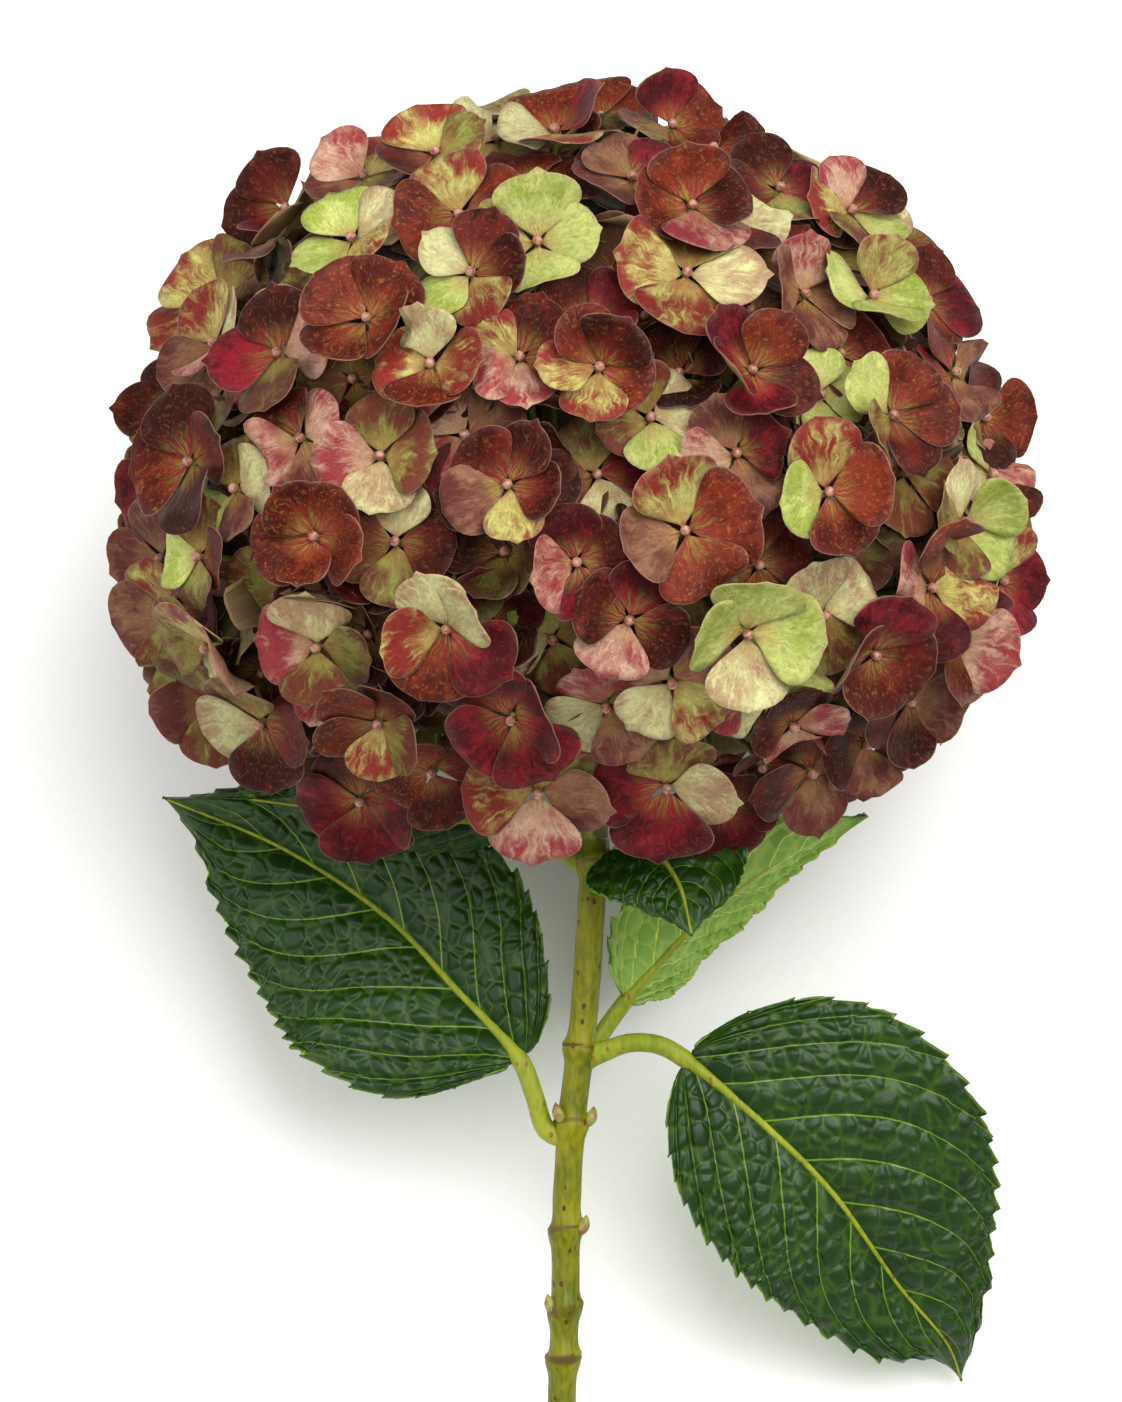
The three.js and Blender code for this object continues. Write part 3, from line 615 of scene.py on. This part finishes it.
# The deeper layers fill what can be seen between the first, and are mostly olive, wine and cream.
UNDER_LAYERS = ((420, 11, 12), (260, 21, 14))  # how many, how deep, and how far apart at least
UNDER_ACROSS, UNDER_DEPTH_VARIES = 29, 3
UNDER_TINTS = ("owoo", "wcww", "okop", "wwmw", "oooo", "kobo", "cwwc")
for count, depth, nearest in UNDER_LAYERS:
    for i in range(count):
        spot = on_dome(spiral_way(i, count, SPIRAL_TO_POLAR))
        inset = depth + UNDER_DEPTH_VARIES * math.sin(i * 1.7)
        floret = make_floret(spot, UNDER_ACROSS, i * 53, inset, UNDER_TINTS[i % len(UNDER_TINTS)], 1)
        if all((floret["middle"] - other["middle"]).length > nearest for other in florets):
            florets.append(floret)

# Each ray turns to the middle of the florets nearest to it, a few times over, and then carries them.
rays = [spiral_way(i, RAY_COUNT, RAY_TO_POLAR) for i in range(RAY_COUNT)]
first_layer = [floret for floret in florets if floret["layer"] == 0]
for _ in range(RAY_GROUPINGS):
    sums = [Vector() for ray in rays]
    for floret in first_layer:
        nearest = max(range(RAY_COUNT), key=lambda i: rays[i].dot(floret["bearing"]))
        sums[nearest] += floret["bearing"]
    last_rays = rays
    rays = [total.normalized() if total.length else ray for total, ray in zip(sums, rays)]
cymes = [[] for ray in rays]
for floret in florets:
    nearest = max(range(RAY_COUNT), key=lambda i: last_rays[i].dot(floret["bearing"]))
    cymes[nearest].append(floret)

# ---------------------------------------------------------------- flower stalk
# The top of the stem, hidden in the head, where it forks into rays. Each ray is a thin green stalk that
# carries one cluster of florets.
stalk_pith = stalk_skin("pale_stalk_skin", "#8a8f3e", "#575f22", "#64522a", "#6f6036")


def tube_between(name, start, end, start_radius, end_radius, around=8, along=6, bow=Vector()):
    """A thin stalk from start to end, bowed sideways in the middle."""
    along_it = (end - start).normalized()
    across = along_it.orthogonal().normalized()
    over = along_it.cross(across)

    def stalk_place(turn, t):
        angle = 2 * math.pi * turn
        radius = start_radius + (end_radius - start_radius) * t
        centre = start.lerp(end, t) + bow * math.sin(math.pi * t)
        return centre + (across * math.cos(angle) + over * math.sin(angle)) * radius

    return rolled(name, around, along, stalk_place)


def join(name, pieces):
    """Makes one object of several."""
    for piece in pieces:
        piece.select_set(True)
    bpy.context.view_layer.objects.active = pieces[0]
    bpy.ops.object.join()
    joined = bpy.context.object
    joined.name = joined.data.name = name
    joined.select_set(False)
    return joined


FORK_RADIUS, RAY_FOOT_RADIUS, RAY_TIP_RADIUS, RAY_BOW = 5.2, 2.4, 1.7, 1.2
stalk_parts = [tube_between("stalk_top", Vector(STEM_TOP), RAY_APEX, STEM_RADIUS, FORK_RADIUS, 20, 24)]
for i, ray in enumerate(rays):
    bow = ray.orthogonal().normalized() * (RAY_BOW * math.sin(i * 2.1))
    tip = RAY_APEX + ray * RAY_LENGTH
    stalk_parts.append(tube_between("ray", RAY_APEX, tip, RAY_FOOT_RADIUS, RAY_TIP_RADIUS, bow=bow))
stalk = join("flower_stalk", stalk_parts)
stalk.data.materials.append(stalk_pith)
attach(stalk, "root")
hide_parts("flower_stalk")

# ---------------------------------------------------------------- petals
# Each floret has four or five broad papery sepals, here called petals, on narrow claws round a small
# closed bud. They are thin, slightly cupped and wavy, finely veined from the claw, with a pale rim and
# paler backs. They age from lime and cream through rust to crimson and wine.
PETAL_LENGTH, PETAL_WIDTH, PETAL_THICKNESS = 15.5, 19.6, 0.22
PETAL_GRID = 8
PETAL_SHAPES = 9
MAP_SIDE = 20  # the petal's UV map covers this many millimetres, from the claw's foot out
CLAW_FROM = 0.04  # the claw starts at this share of the length from the middle of the floret
TIP_RISE, SIDE_RISE, CURL_FROM, CURL_RATE, CREASE_DEPTH = 1.9, 1.5, 0.55, 5, 2


def petal_half_width(t, widest, blunt):
    """Half the width at a share t of the length, of 1: a narrow claw, broadest at `widest`, a round tip."""
    if t < widest:
        return math.sin(math.pi / 2 * t / widest) ** 1.35
    return max(0, 1 - ((t - widest) / (1 - widest)) ** blunt) ** 0.5


def petal_shape(number):
    """One petal, in mm: x across, y out from the middle of the floret and z out of its face."""
    chance = random.Random(number)
    wide = PETAL_WIDTH / 2 * chance.uniform(0.92, 1.08)
    waves, phase = chance.choice((2.5, 3, 3.5)), chance.uniform(0, 6.28)
    wave, curl = chance.uniform(0.5, 1.2), chance.uniform(-2.2, 1.2)
    crease, skew = chance.uniform(0.5, 1.1), chance.uniform(-1.2, 1.2)
    widest, blunt = chance.uniform(0.5, 0.64), chance.uniform(1.9, 2.7)
    point = chance.uniform(0.3, 1.4)
    bpy.ops.mesh.primitive_grid_add(x_subdivisions=PETAL_GRID, y_subdivisions=PETAL_GRID, size=2)
    petal = bpy.context.object
    petal.name = petal.data.name = f"petal_shape_{number}"
    margin = petal.data.attributes.new("margin", "FLOAT", "POINT")
    for vertex, entry in zip(petal.data.vertices, margin.data):
        # the square grid becomes a round one, and then the petal's outline
        u, v = vertex.co.x, vertex.co.y
        x, y = u * math.sqrt(1 - v * v / 2), v * math.sqrt(1 - u * u / 2)
        entry.value = radius = min(1, math.hypot(x, y))
        t = (y + 1) / 2
        share = x / max(math.sqrt(max(1 - y * y, 0)), 1e-4) if abs(y) < 0.9999 else 0
        outline = petal_half_width(t, widest, blunt)
        a = share * outline
        angle = math.atan2(x, y)
        out = PETAL_LENGTH * (CLAW_FROM + (1 - CLAW_FROM) * t)
        out += point * math.exp(-((share * 3) ** 2)) * t ** 6
        height = TIP_RISE * t * t + curl * max(0, t - CURL_FROM) ** 2 * CURL_RATE
        height += SIDE_RISE * a * a * t
        height -= crease * math.exp(-((a * 5) ** 2)) * t * (1 - t) * CREASE_DEPTH
        height += wave * math.sin(waves * angle + phase) * radius ** 3 * t
        vertex.co = (a * wide + skew * t * t, out, height)
    for loop, texel in zip(petal.data.loops, petal.data.uv_layers.active.data):
        spot = petal.data.vertices[loop.vertex_index].co
        texel.uv = (spot.x / MAP_SIDE + 0.5, spot.y / MAP_SIDE)
    bpy.ops.object.shade_smooth()
    wall = petal.modifiers.new("thickness", "SOLIDIFY")
    wall.thickness = PETAL_THICKNESS
    wall.offset = 0
    wall.material_offset = 1
    for side in ("front", "back"):
        petal.data.materials.append(None)
    bpy.ops.object.modifier_apply(modifier="thickness")
    petal.select_set(False)
    return petal


petal_shapes = [petal_shape(number) for number in range(PETAL_SHAPES)]

# Each tint: its ground, its blush, how much of the petal the blush takes, and how strongly it is flecked.
TINTS = {
    "g": ("#bcc270", "#929f42", 0.34, 0.0),
    "k": ("#cac78e", "#a68462", 0.34, 0.0),
    "o": ("#8a8c44", "#663224", 0.53, 0.15),
    "b": ("#bab668", "#7e2a24", 0.54, 0.2),
    "r": ("#762a18", "#48140e", 0.45, 0.7),
    "w": ("#5a1811", "#2d0a06", 0.46, 0.4),
    "c": ("#821a25", "#420a13", 0.46, 0.2),
    "p": ("#c49e84", "#90343a", 0.47, 0.1),
    "m": ("#8c644a", "#5c2c28", 0.50, 0.2),
}
FLECK_STRENGTH, THROAT_STRENGTH, MOTTLE_STRENGTH, BACK_DUST = 0.6, 0.55, 0.35, 0.42


def petal_skin(name, back):
    """Ageing petal: papery and soft, colour laid over a ground in fans and blotches along the veins."""
    made, tree, shader = material(name)
    ground = add(tree, "Attribute", {}, "Color", attribute_name="ground")
    blush = add(tree, "Attribute", {}, "Color", attribute_name="blush")
    traits = add(tree, "Attribute", {}, "Color", attribute_name="traits")
    amount, flecking, luck = add(tree, "SeparateColor", {0: traits}, None)[:3]
    margin = add(tree, "Attribute", {}, "Fac", attribute_name="margin")
    # x and y in mm, and the direction and distance from the middle of the floret
    u, v = add(tree, "SeparateXYZ", {0: add(tree, "UVMap", {})}, None)[:2]
    x = add(tree, "Math", {0: u, 1: MAP_SIDE, 2: -MAP_SIDE / 2}, operation="MULTIPLY_ADD")
    y = add(tree, "Math", {0: v, 1: MAP_SIDE, 2: 1.5}, operation="MULTIPLY_ADD")
    fan = add(tree, "Math", {0: x, 1: y}, operation="ARCTAN2")
    away = add(tree, "CombineXYZ", {0: x, 1: y})
    away = add(tree, "VectorMath", {0: away}, "Value", operation="LENGTH")
    seed = add(tree, "Math", {0: luck, 1: 90.0}, operation="MULTIPLY")
    # Blotches 5 to 8 mm across.
    flat = add(tree, "CombineXYZ", {0: x, 1: y, 2: seed})
    blotch = add(tree, "TexNoise", {"Vector": flat, "Scale": 0.13, "Detail": 2.0})
    # Fine veins fan out from the claw, a little over half a millimetre apart at the middle of the petal.
    bent = add(tree, "TexNoise", {"Vector": flat, "Scale": 0.35})
    fan_bent = add(tree, "Math", {0: bent, 1: 0.35, 2: fan}, operation="MULTIPLY_ADD")
    fan_at = add(tree, "CombineXYZ", {0: fan_bent, 1: away, 2: seed})
    streak_at = add(tree, "Mapping", {"Vector": fan_at, "Scale": (13, 0.16, 1)})
    streaks = add(tree, "TexNoise", {"Vector": streak_at, "Scale": 1.0, "Detail": 3.0})
    # Where the blush lies: more towards the margin, along the streaks, over the blotches.
    outward = add(
        tree, "MapRange", {"Value": away, "From Min": 3, "From Max": 15, "To Min": -0.12, "To Max": 0.1}
    )
    lay = add(tree, "Math", {0: streaks, 1: 0.75, 2: outward}, operation="MULTIPLY_ADD")
    lay = add(tree, "Math", {0: blotch, 1: 1.2, 2: lay}, operation="MULTIPLY_ADD")
    lay = add(tree, "Math", {0: amount, 1: 0.62, 2: lay}, operation="MULTIPLY_ADD")
    stipple = add(tree, "TexNoise", {"Vector": flat, "Scale": 2.2, "Detail": 1.0})
    lay = add(tree, "Math", {0: stipple, 1: 0.14, 2: lay}, operation="MULTIPLY_ADD")
    covered = add(
        tree, "MapRange", {"Value": lay, "From Min": 1.1, "From Max": 1.6},
        interpolation_type="SMOOTHSTEP",
    )
    colour = add(tree, "Mix", {0: covered, 6: ground, 7: blush}, 2, data_type="RGBA")
    # Orange-yellow flecks, short strokes a millimetre long that follow the veins.
    fleck_at = add(tree, "Mapping", {"Vector": fan_at, "Scale": (17, 0.7, 1)})
    flecks = add(tree, "TexNoise", {"Vector": fleck_at, "Scale": 1.3, "Detail": 2.0})
    flecks = add(tree, "MapRange", {"Value": flecks, "From Min": 0.55, "From Max": 0.72})
    flecks = add(tree, "Math", {0: flecks, 1: flecking}, operation="MULTIPLY")
    flecks = add(tree, "Math", {0: flecks, 1: FLECK_STRENGTH}, operation="MULTIPLY")
    colour = add(tree, "Mix", {0: flecks, 6: colour, 7: linear("#a5793a")}, 2, data_type="RGBA")
    # The throat, within 10 mm of the bud, is streaked with pink and lime.
    throat = add(
        tree, "MapRange", {"Value": away, "From Min": 10.5, "From Max": 2.5}, interpolation_type="SMOOTHSTEP"
    )
    rayed = add(tree, "MapRange", {"Value": streaks, "From Min": 0.42, "From Max": 0.6})
    heart = add(tree, "Mix", {0: rayed, 6: linear("#98263a"), 7: linear("#a59c44")}, 2, data_type="RGBA")
    throat = add(tree, "Math", {0: throat, 1: THROAT_STRENGTH}, operation="MULTIPLY")
    colour = add(tree, "Mix", {0: throat, 6: colour, 7: heart}, 2, data_type="RGBA")
    # A greyish bloom over the outer half, in patches.
    bloom = add(tree, "MapRange", {"Value": margin, "From Min": 0.5, "From Max": 1.0})
    bloom = add(tree, "Math", {0: bloom, 1: bent}, operation="MULTIPLY")
    bloom = add(tree, "MapRange", {"Value": bloom, "From Min": 0.25, "From Max": 0.6, "To Max": 0.18})
    colour = add(tree, "Mix", {0: bloom, 6: colour, 7: linear("#6c5048")}, 2, data_type="RGBA")
    # Papery mottling, a millimetre across.
    mottle = add(tree, "TexNoise", {"Vector": flat, "Scale": 0.9, "Detail": 4.0, "Roughness": 0.7})
    mottle = add(tree, "MapRange", {"Value": mottle, "From Min": 0.3, "From Max": 0.7})
    dusk = add(tree, "Mix", {0: MOTTLE_STRENGTH, 6: colour, 7: linear("#1c0a06")}, 2, data_type="RGBA")
    colour = add(tree, "Mix", {0: mottle, 6: dusk, 7: colour}, 2, data_type="RGBA")
    # Veins a shade darker, the thin rim pale.
    line = add(tree, "Math", {0: streaks, 1: 0.5}, operation="SUBTRACT")
    line = add(tree, "Math", {0: line}, operation="ABSOLUTE")
    line = add(tree, "MapRange", {"Value": line, "From Min": 0.03, "From Max": 0.0, "To Max": 0.35})
    colour = add(tree, "Mix", {0: line, 6: colour, 7: linear("#3d1512")}, 2, data_type="RGBA")
    rim = add(
        tree, "MapRange", {"Value": margin, "From Min": 0.975, "From Max": 1.0, "To Max": 0.3},
        interpolation_type="SMOOTHSTEP",
    )
    colour = add(tree, "Mix", {0: rim, 6: colour, 7: linear("#b58c78")}, 2, data_type="RGBA")
    if back:
        colour = add(tree, "Mix", {0: BACK_DUST, 6: colour, 7: linear("#ad9068")}, 2, data_type="RGBA")
    tree.links.new(colour, shader.inputs["Base Color"])
    shader.inputs["Roughness"].default_value = 0.62 if back else 0.5
    shader.inputs["Specular IOR Level"].default_value = 0.08
    bump = add(tree, "Bump", {"Height": streaks, "Strength": 0.5, "Distance": 0.0005})
    tree.links.new(bump, shader.inputs["Normal"])
    return made


petal_face = petal_skin("papery_petal_face", False)
petal_back = petal_skin("dusty_petal_back", True)

# The closed bud in the middle of each floret: a waxy bead, pinkish beige with darker patches.
FLORET_BUD_RADIUS = 1.3
bead = mottled_skin("floret_bud", ("#7c4638", "#b0806a"), 900, (0.35, 0.6), 0.4)
bpy.ops.mesh.primitive_uv_sphere_add(segments=8, ring_count=6, radius=FLORET_BUD_RADIUS)
bud_shape = bpy.context.object
bpy.ops.object.shade_smooth()
bud_shape.select_set(False)

# A floret's own stalk, as a flat grid that is rolled up where it goes.
PEDICEL_RADIUS, PEDICEL_AROUND, PEDICEL_ALONG = 0.75, 6, 5
bpy.ops.mesh.primitive_grid_add(x_subdivisions=PEDICEL_AROUND, y_subdivisions=PEDICEL_ALONG, size=1)
pedicel_shape = bpy.context.object
bpy.ops.object.shade_smooth()
pedicel_shape.select_set(False)

# ---------------------------------------------------------------- cymes
# Each cyme is one ray's cluster: a branch that forks into the florets' own stalks, with their petals and
# buds. It grew as one, so its petals and buds are one piece and its stalks another.
TABLE_CLEARANCE, STACK, STACK_STEP = 0.5, 6, 0.35  # petals pressed on the table lie in stacks
LEANS = ((0, 7), (18, 35))  # degrees by which a floret leans, in the first layer and deeper
PETAL_TILT, PETAL_TWIST, PETAL_SWING = (4, 15), (5, 13), (-5, 5)  # degrees
DEEPER_TILT = 9  # degrees more for the petals of the deeper layers
PAIR_STEP = 0.35  # every other petal sits higher
RAISED_SHARE, RAISED_FACING = 0.12, 0.6  # some petals of the florets that face up stand steeply
RAISED_TILT = (12, 32)
PETAL_WIDTHS, PETAL_LENGTHS = (0.86, 1.08), (0.88, 1.06)  # of the shape's own
FIVE_NARROW = 0.86  # where a floret has five petals, each is narrower
PETAL_SHADES, DEEPER_PAINTED_SHADE = (0.8, 1.15), 0.42  # petal tones vary at random, and the deeper layers' petals are darkened further as painted shade for the gaps in the head
BLUSH_VARIES = (-0.15, 0.15)
BUD_HEIGHT = 1.5
# A petal tilts by up to this many degrees to clear its neighbours, over them or under.
OVER, UNDER, TILT_REACH, TILT_ROOM = 7, -16, 0.4, 0.62
# Under another floret a petal keeps below a shallow cup, CUP deep at its rim and CLEAR under its middle.
# What stands out of the cup is pressed down by the share PRESS, less beyond RIM, unless it is too tall.
CUP, CLEAR, PRESS, TALLEST, RIM, RIM_SOFT = 1.2, 1.4, 0.78, 12, 1.05, 0.25
chance = random.Random(7)


def copied(built, shape, place_vertex, material_shift=0):
    """Adds a copy of a shape's mesh to a mesh being built. Returns its vertices."""
    before, faces_before = len(built.verts), len(built.faces)
    built.from_mesh(shape.data)
    built.verts.ensure_lookup_table()
    built.faces.ensure_lookup_table()
    added = built.verts[before:]
    for vertex in added:
        vertex.co = place_vertex(vertex.co)
    for face in built.faces[faces_before:]:
        face.material_index += material_shift
    return added


def above_table(spot, clearance):
    """Lifts a place in metres to this many millimetres over the table."""
    spot.z = max(spot.z, clearance * MILLIMETRE)
    return spot


def lies_over(upper, lower):
    """Whether the first of two florets is the upper one: the less sunk, or at one depth the less turned."""
    return (upper["inset"], upper["turn"]) < (lower["inset"], lower["turn"])


def give_way(floret, turn):
    """Degrees by which a petal lifts over its lower neighbours, or dips under the higher ones."""
    out = floret["up"] * math.cos(turn) - floret["side"] * math.sin(turn)
    reach = floret["middle"] + out * (TILT_REACH * floret["across"])
    lift = 0
    for other in first_layer:
        near = 1 - (other["middle"] - reach).length / (TILT_ROOM * other["across"])
        if near > 0 and other is not floret:
            lift += (OVER if lies_over(floret, other) else UNDER) * near
    return min(max(lift, UNDER), OVER)


def florets_over(floret):
    """The florets of the first layer that lie over part of this one."""
    return [
        other for other in first_layer
        if (other["middle"] - floret["middle"]).length < (other["across"] + floret["across"]) / 2
        and (floret["layer"] or lies_over(other, floret))
    ]


def bent_under(spot, over):
    """Presses a point of a petal down where it would come up through a floret that lies over it."""
    for other in over:
        away = spot - other["middle"]
        height = away.dot(other["face"])
        out = math.sqrt(max(0, away.length_squared - height * height)) / (other["across"] / 2)
        excess = height - (CUP * out - CLEAR)
        if 0 < excess < TALLEST and out < RIM:
            spot = spot - other["face"] * (PRESS * excess * min(1, (RIM - out) / RIM_SOFT))
    return spot


def add_floret(built, layers, floret, number):
    """Lays a floret's petals round its middle, each with its own shape, tilt and tints."""
    over = florets_over(floret)
    ground, blush, traits = layers
    frame_of = Matrix((floret["side"], floret["up"], floret["face"])).transposed().to_4x4()
    deeper = floret["layer"]
    lean = math.radians(chance.uniform(*LEANS[deeper]))
    lean_way = Matrix.Rotation(chance.uniform(0, 6.28), 4, "Z")
    base = (
        Matrix.Translation(floret["middle"]) @ frame_of
        @ lean_way @ Matrix.Rotation(lean, 4, "X") @ lean_way.inverted()
    )
    petals = len(floret["tints"])
    size = floret["across"] / 2 / PETAL_LENGTH
    narrow = 1 if petals == 4 else FIVE_NARROW
    handed = chance.choice((-1, 1))
    for k, letter in enumerate(floret["tints"]):
        turn = math.radians(floret["turn"] + 360 * k / petals + chance.uniform(*PETAL_SWING) - 90)
        tilt = chance.uniform(*PETAL_TILT)
        tilt += DEEPER_TILT if deeper else give_way(floret, turn) - floret["inset"]
        if chance.random() < RAISED_SHARE and floret["face"].z > RAISED_FACING:
            tilt += chance.uniform(*RAISED_TILT)
        twist = handed * chance.uniform(*PETAL_TWIST)
        wide = size * narrow * chance.uniform(*PETAL_WIDTHS)
        long = size * chance.uniform(*PETAL_LENGTHS)
        place = (
            base
            @ Matrix.Rotation(turn, 4, "Z")
            @ Matrix.Translation((0, 0, PAIR_STEP * (k % 2)))
            @ Matrix.Rotation(math.radians(tilt), 4, "X")
            @ Matrix.Rotation(math.radians(twist), 4, "Y")
            @ Matrix.Diagonal((wide, long, size, 1))
        )
        clearance = TABLE_CLEARANCE + STACK_STEP * ((number + k) % STACK)
        shape = chance.choice(petal_shapes)
        added = copied(built, shape, lambda co: above_table(lie @ bent_under(place @ co, over), clearance))
        ground_hex, blush_hex, amount, flecking = TINTS[letter]
        # The deeper layers' colours are multiplied down as painted shade, on top of the random tone.
        shade = chance.uniform(*PETAL_SHADES) * (DEEPER_PAINTED_SHADE if deeper else 1)
        ground_colour = Vector([c * shade for c in linear(ground_hex)[:3]] + [1])
        blush_colour = Vector([c * shade for c in linear(blush_hex)[:3]] + [1])
        trait = Vector((amount + chance.uniform(*BLUSH_VARIES), flecking, chance.random(), 1))
        for vertex in added:
            vertex[ground] = ground_colour
            vertex[blush] = blush_colour
            vertex[traits] = trait
    bud_place = lie @ base @ Matrix.Translation((0, 0, BUD_HEIGHT))
    copied(built, bud_shape, lambda co: above_table(bud_place @ co, TABLE_CLEARANCE), 2)


def add_stalk(built, start, middle, end, start_radius, end_radius):
    """A stalk bent from start, past middle, to end."""
    across = (end - start).orthogonal().normalized()
    over = (end - start).cross(across).normalized()

    def stalk_vertex(co):
        angle, t = 2 * math.pi * (co.x + 0.5), co.y + 0.5
        centre = start.lerp(middle, t).lerp(middle.lerp(end, t), t)
        radius = start_radius + (end_radius - start_radius) * t
        spot = centre + (across * math.cos(angle) + over * math.sin(angle)) * radius
        return above_table(lie @ spot, TABLE_CLEARANCE)

    copied(built, pedicel_shape, stalk_vertex)


def as_piece(name, built, materials):
    """Makes an object of a mesh that has been built, with its materials."""
    mesh = bpy.data.meshes.new(name)
    built.to_mesh(mesh)
    built.free()
    for skin in materials:
        mesh.materials.append(skin)
    piece = bpy.data.objects.new(name, mesh)
    bpy.context.scene.collection.objects.link(piece)
    return piece


BRANCH_OVERLAP, BRANCH_RADIUS, FORKED_RADIUS = 0.5, 1.6, 2.0
NECK = 9  # below its face, a pedicel stands square to its floret for this far
for i, (ray, members) in enumerate(zip(rays, cymes)):
    node = f"cyme_{i + 1:02d}"
    outer = [floret for floret in members if floret["layer"] == 0]
    nearest = min((floret["middle"] - RAY_APEX).length for floret in outer)
    fork = RAY_APEX + ray * (RAY_LENGTH + (nearest - RAY_LENGTH) * FORK_AT)
    foot = RAY_APEX + ray * (RAY_LENGTH - BRANCH_OVERLAP)

    built = bmesh.new()
    layers = [built.verts.layers.float_color.new(name) for name in ("ground", "blush", "traits")]
    for number, floret in enumerate(members):
        add_floret(built, layers, floret, number)
    petals = as_piece(node + "_florets", built, (petal_face, petal_back, bead))
    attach(petals, "root")
    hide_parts(node)

    built = bmesh.new()
    add_stalk(built, foot, foot.lerp(fork, 0.5), fork, BRANCH_RADIUS, FORKED_RADIUS)
    for floret in members:
        neck = floret["middle"] - floret["face"] * NECK
        add_stalk(built, fork, neck, floret["middle"], PEDICEL_RADIUS * 1.3, PEDICEL_RADIUS)
    bmesh.ops.remove_doubles(built, verts=built.verts, dist=0.00001)
    bmesh.ops.holes_fill(built, edges=built.edges, sides=0)
    bmesh.ops.recalc_face_normals(built, faces=built.faces)
    stalks = as_piece(node + "_pedicels", built, (stalk_pith,))
    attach(stalks, "root")

for shape in petal_shapes + [bud_shape, pedicel_shape]:
    bpy.data.objects.remove(shape)

# ---------------------------------------------------------------- floor, light and camera
# A pale seamless studio floor, a large soft light from above right of the head, a weaker one opposite,
# and a camera square to the stem that looks down on the plant.
bpy.ops.mesh.primitive_plane_add(size=6)
floor = bpy.context.object
floor.name = "floor"
floor.data.materials.append(mottled_skin("pale_paper_floor", ("#f3f3f1", "#fafaf8"), 900, (0, 1), 0.9))

world = bpy.data.worlds.new("studio")
bpy.context.scene.world = world
world.use_nodes = True
sky = world.node_tree.nodes["Background"]
sky.inputs["Color"].default_value = (1, 1, 1, 1)
sky.inputs["Strength"].default_value = 0.5
bpy.context.scene.view_settings.view_transform = "Standard"


def soft_light(name, standing_place, size, power):
    """A square lamp aimed at the middle of the head, placed in the standing plant's millimetres."""
    lamp = bpy.data.objects.new(name, bpy.data.lights.new(name, "AREA"))
    lamp.data.size = size
    lamp.data.energy = power
    bpy.context.scene.collection.objects.link(lamp)
    lamp.location = lie @ Vector(standing_place)
    aim = lie @ Vector((0, 0, 0)) - lamp.location
    lamp.rotation_euler = aim.to_track_quat("-Z", "Y").to_euler()


soft_light("key", (420, 560, 1100), 1.3, 27)
soft_light("fill", (-900, 100, 900), 1.6, 10)

CAMERA_REACH = 2200
VIEW_MIDDLE = (-3.6, -33.8)
VIEW_WIDTH = 269.3
camera = bpy.data.objects.new("camera", bpy.data.cameras.new("camera"))
bpy.context.scene.collection.objects.link(camera)
camera.data.sensor_fit = "HORIZONTAL"
camera.data.lens = CAMERA_REACH * camera.data.sensor_width / VIEW_WIDTH
camera.location = lie @ Vector((*VIEW_MIDDLE, CAMERA_REACH))
camera.rotation_euler = (lean_back, 0, 0)
bpy.context.scene.camera = camera
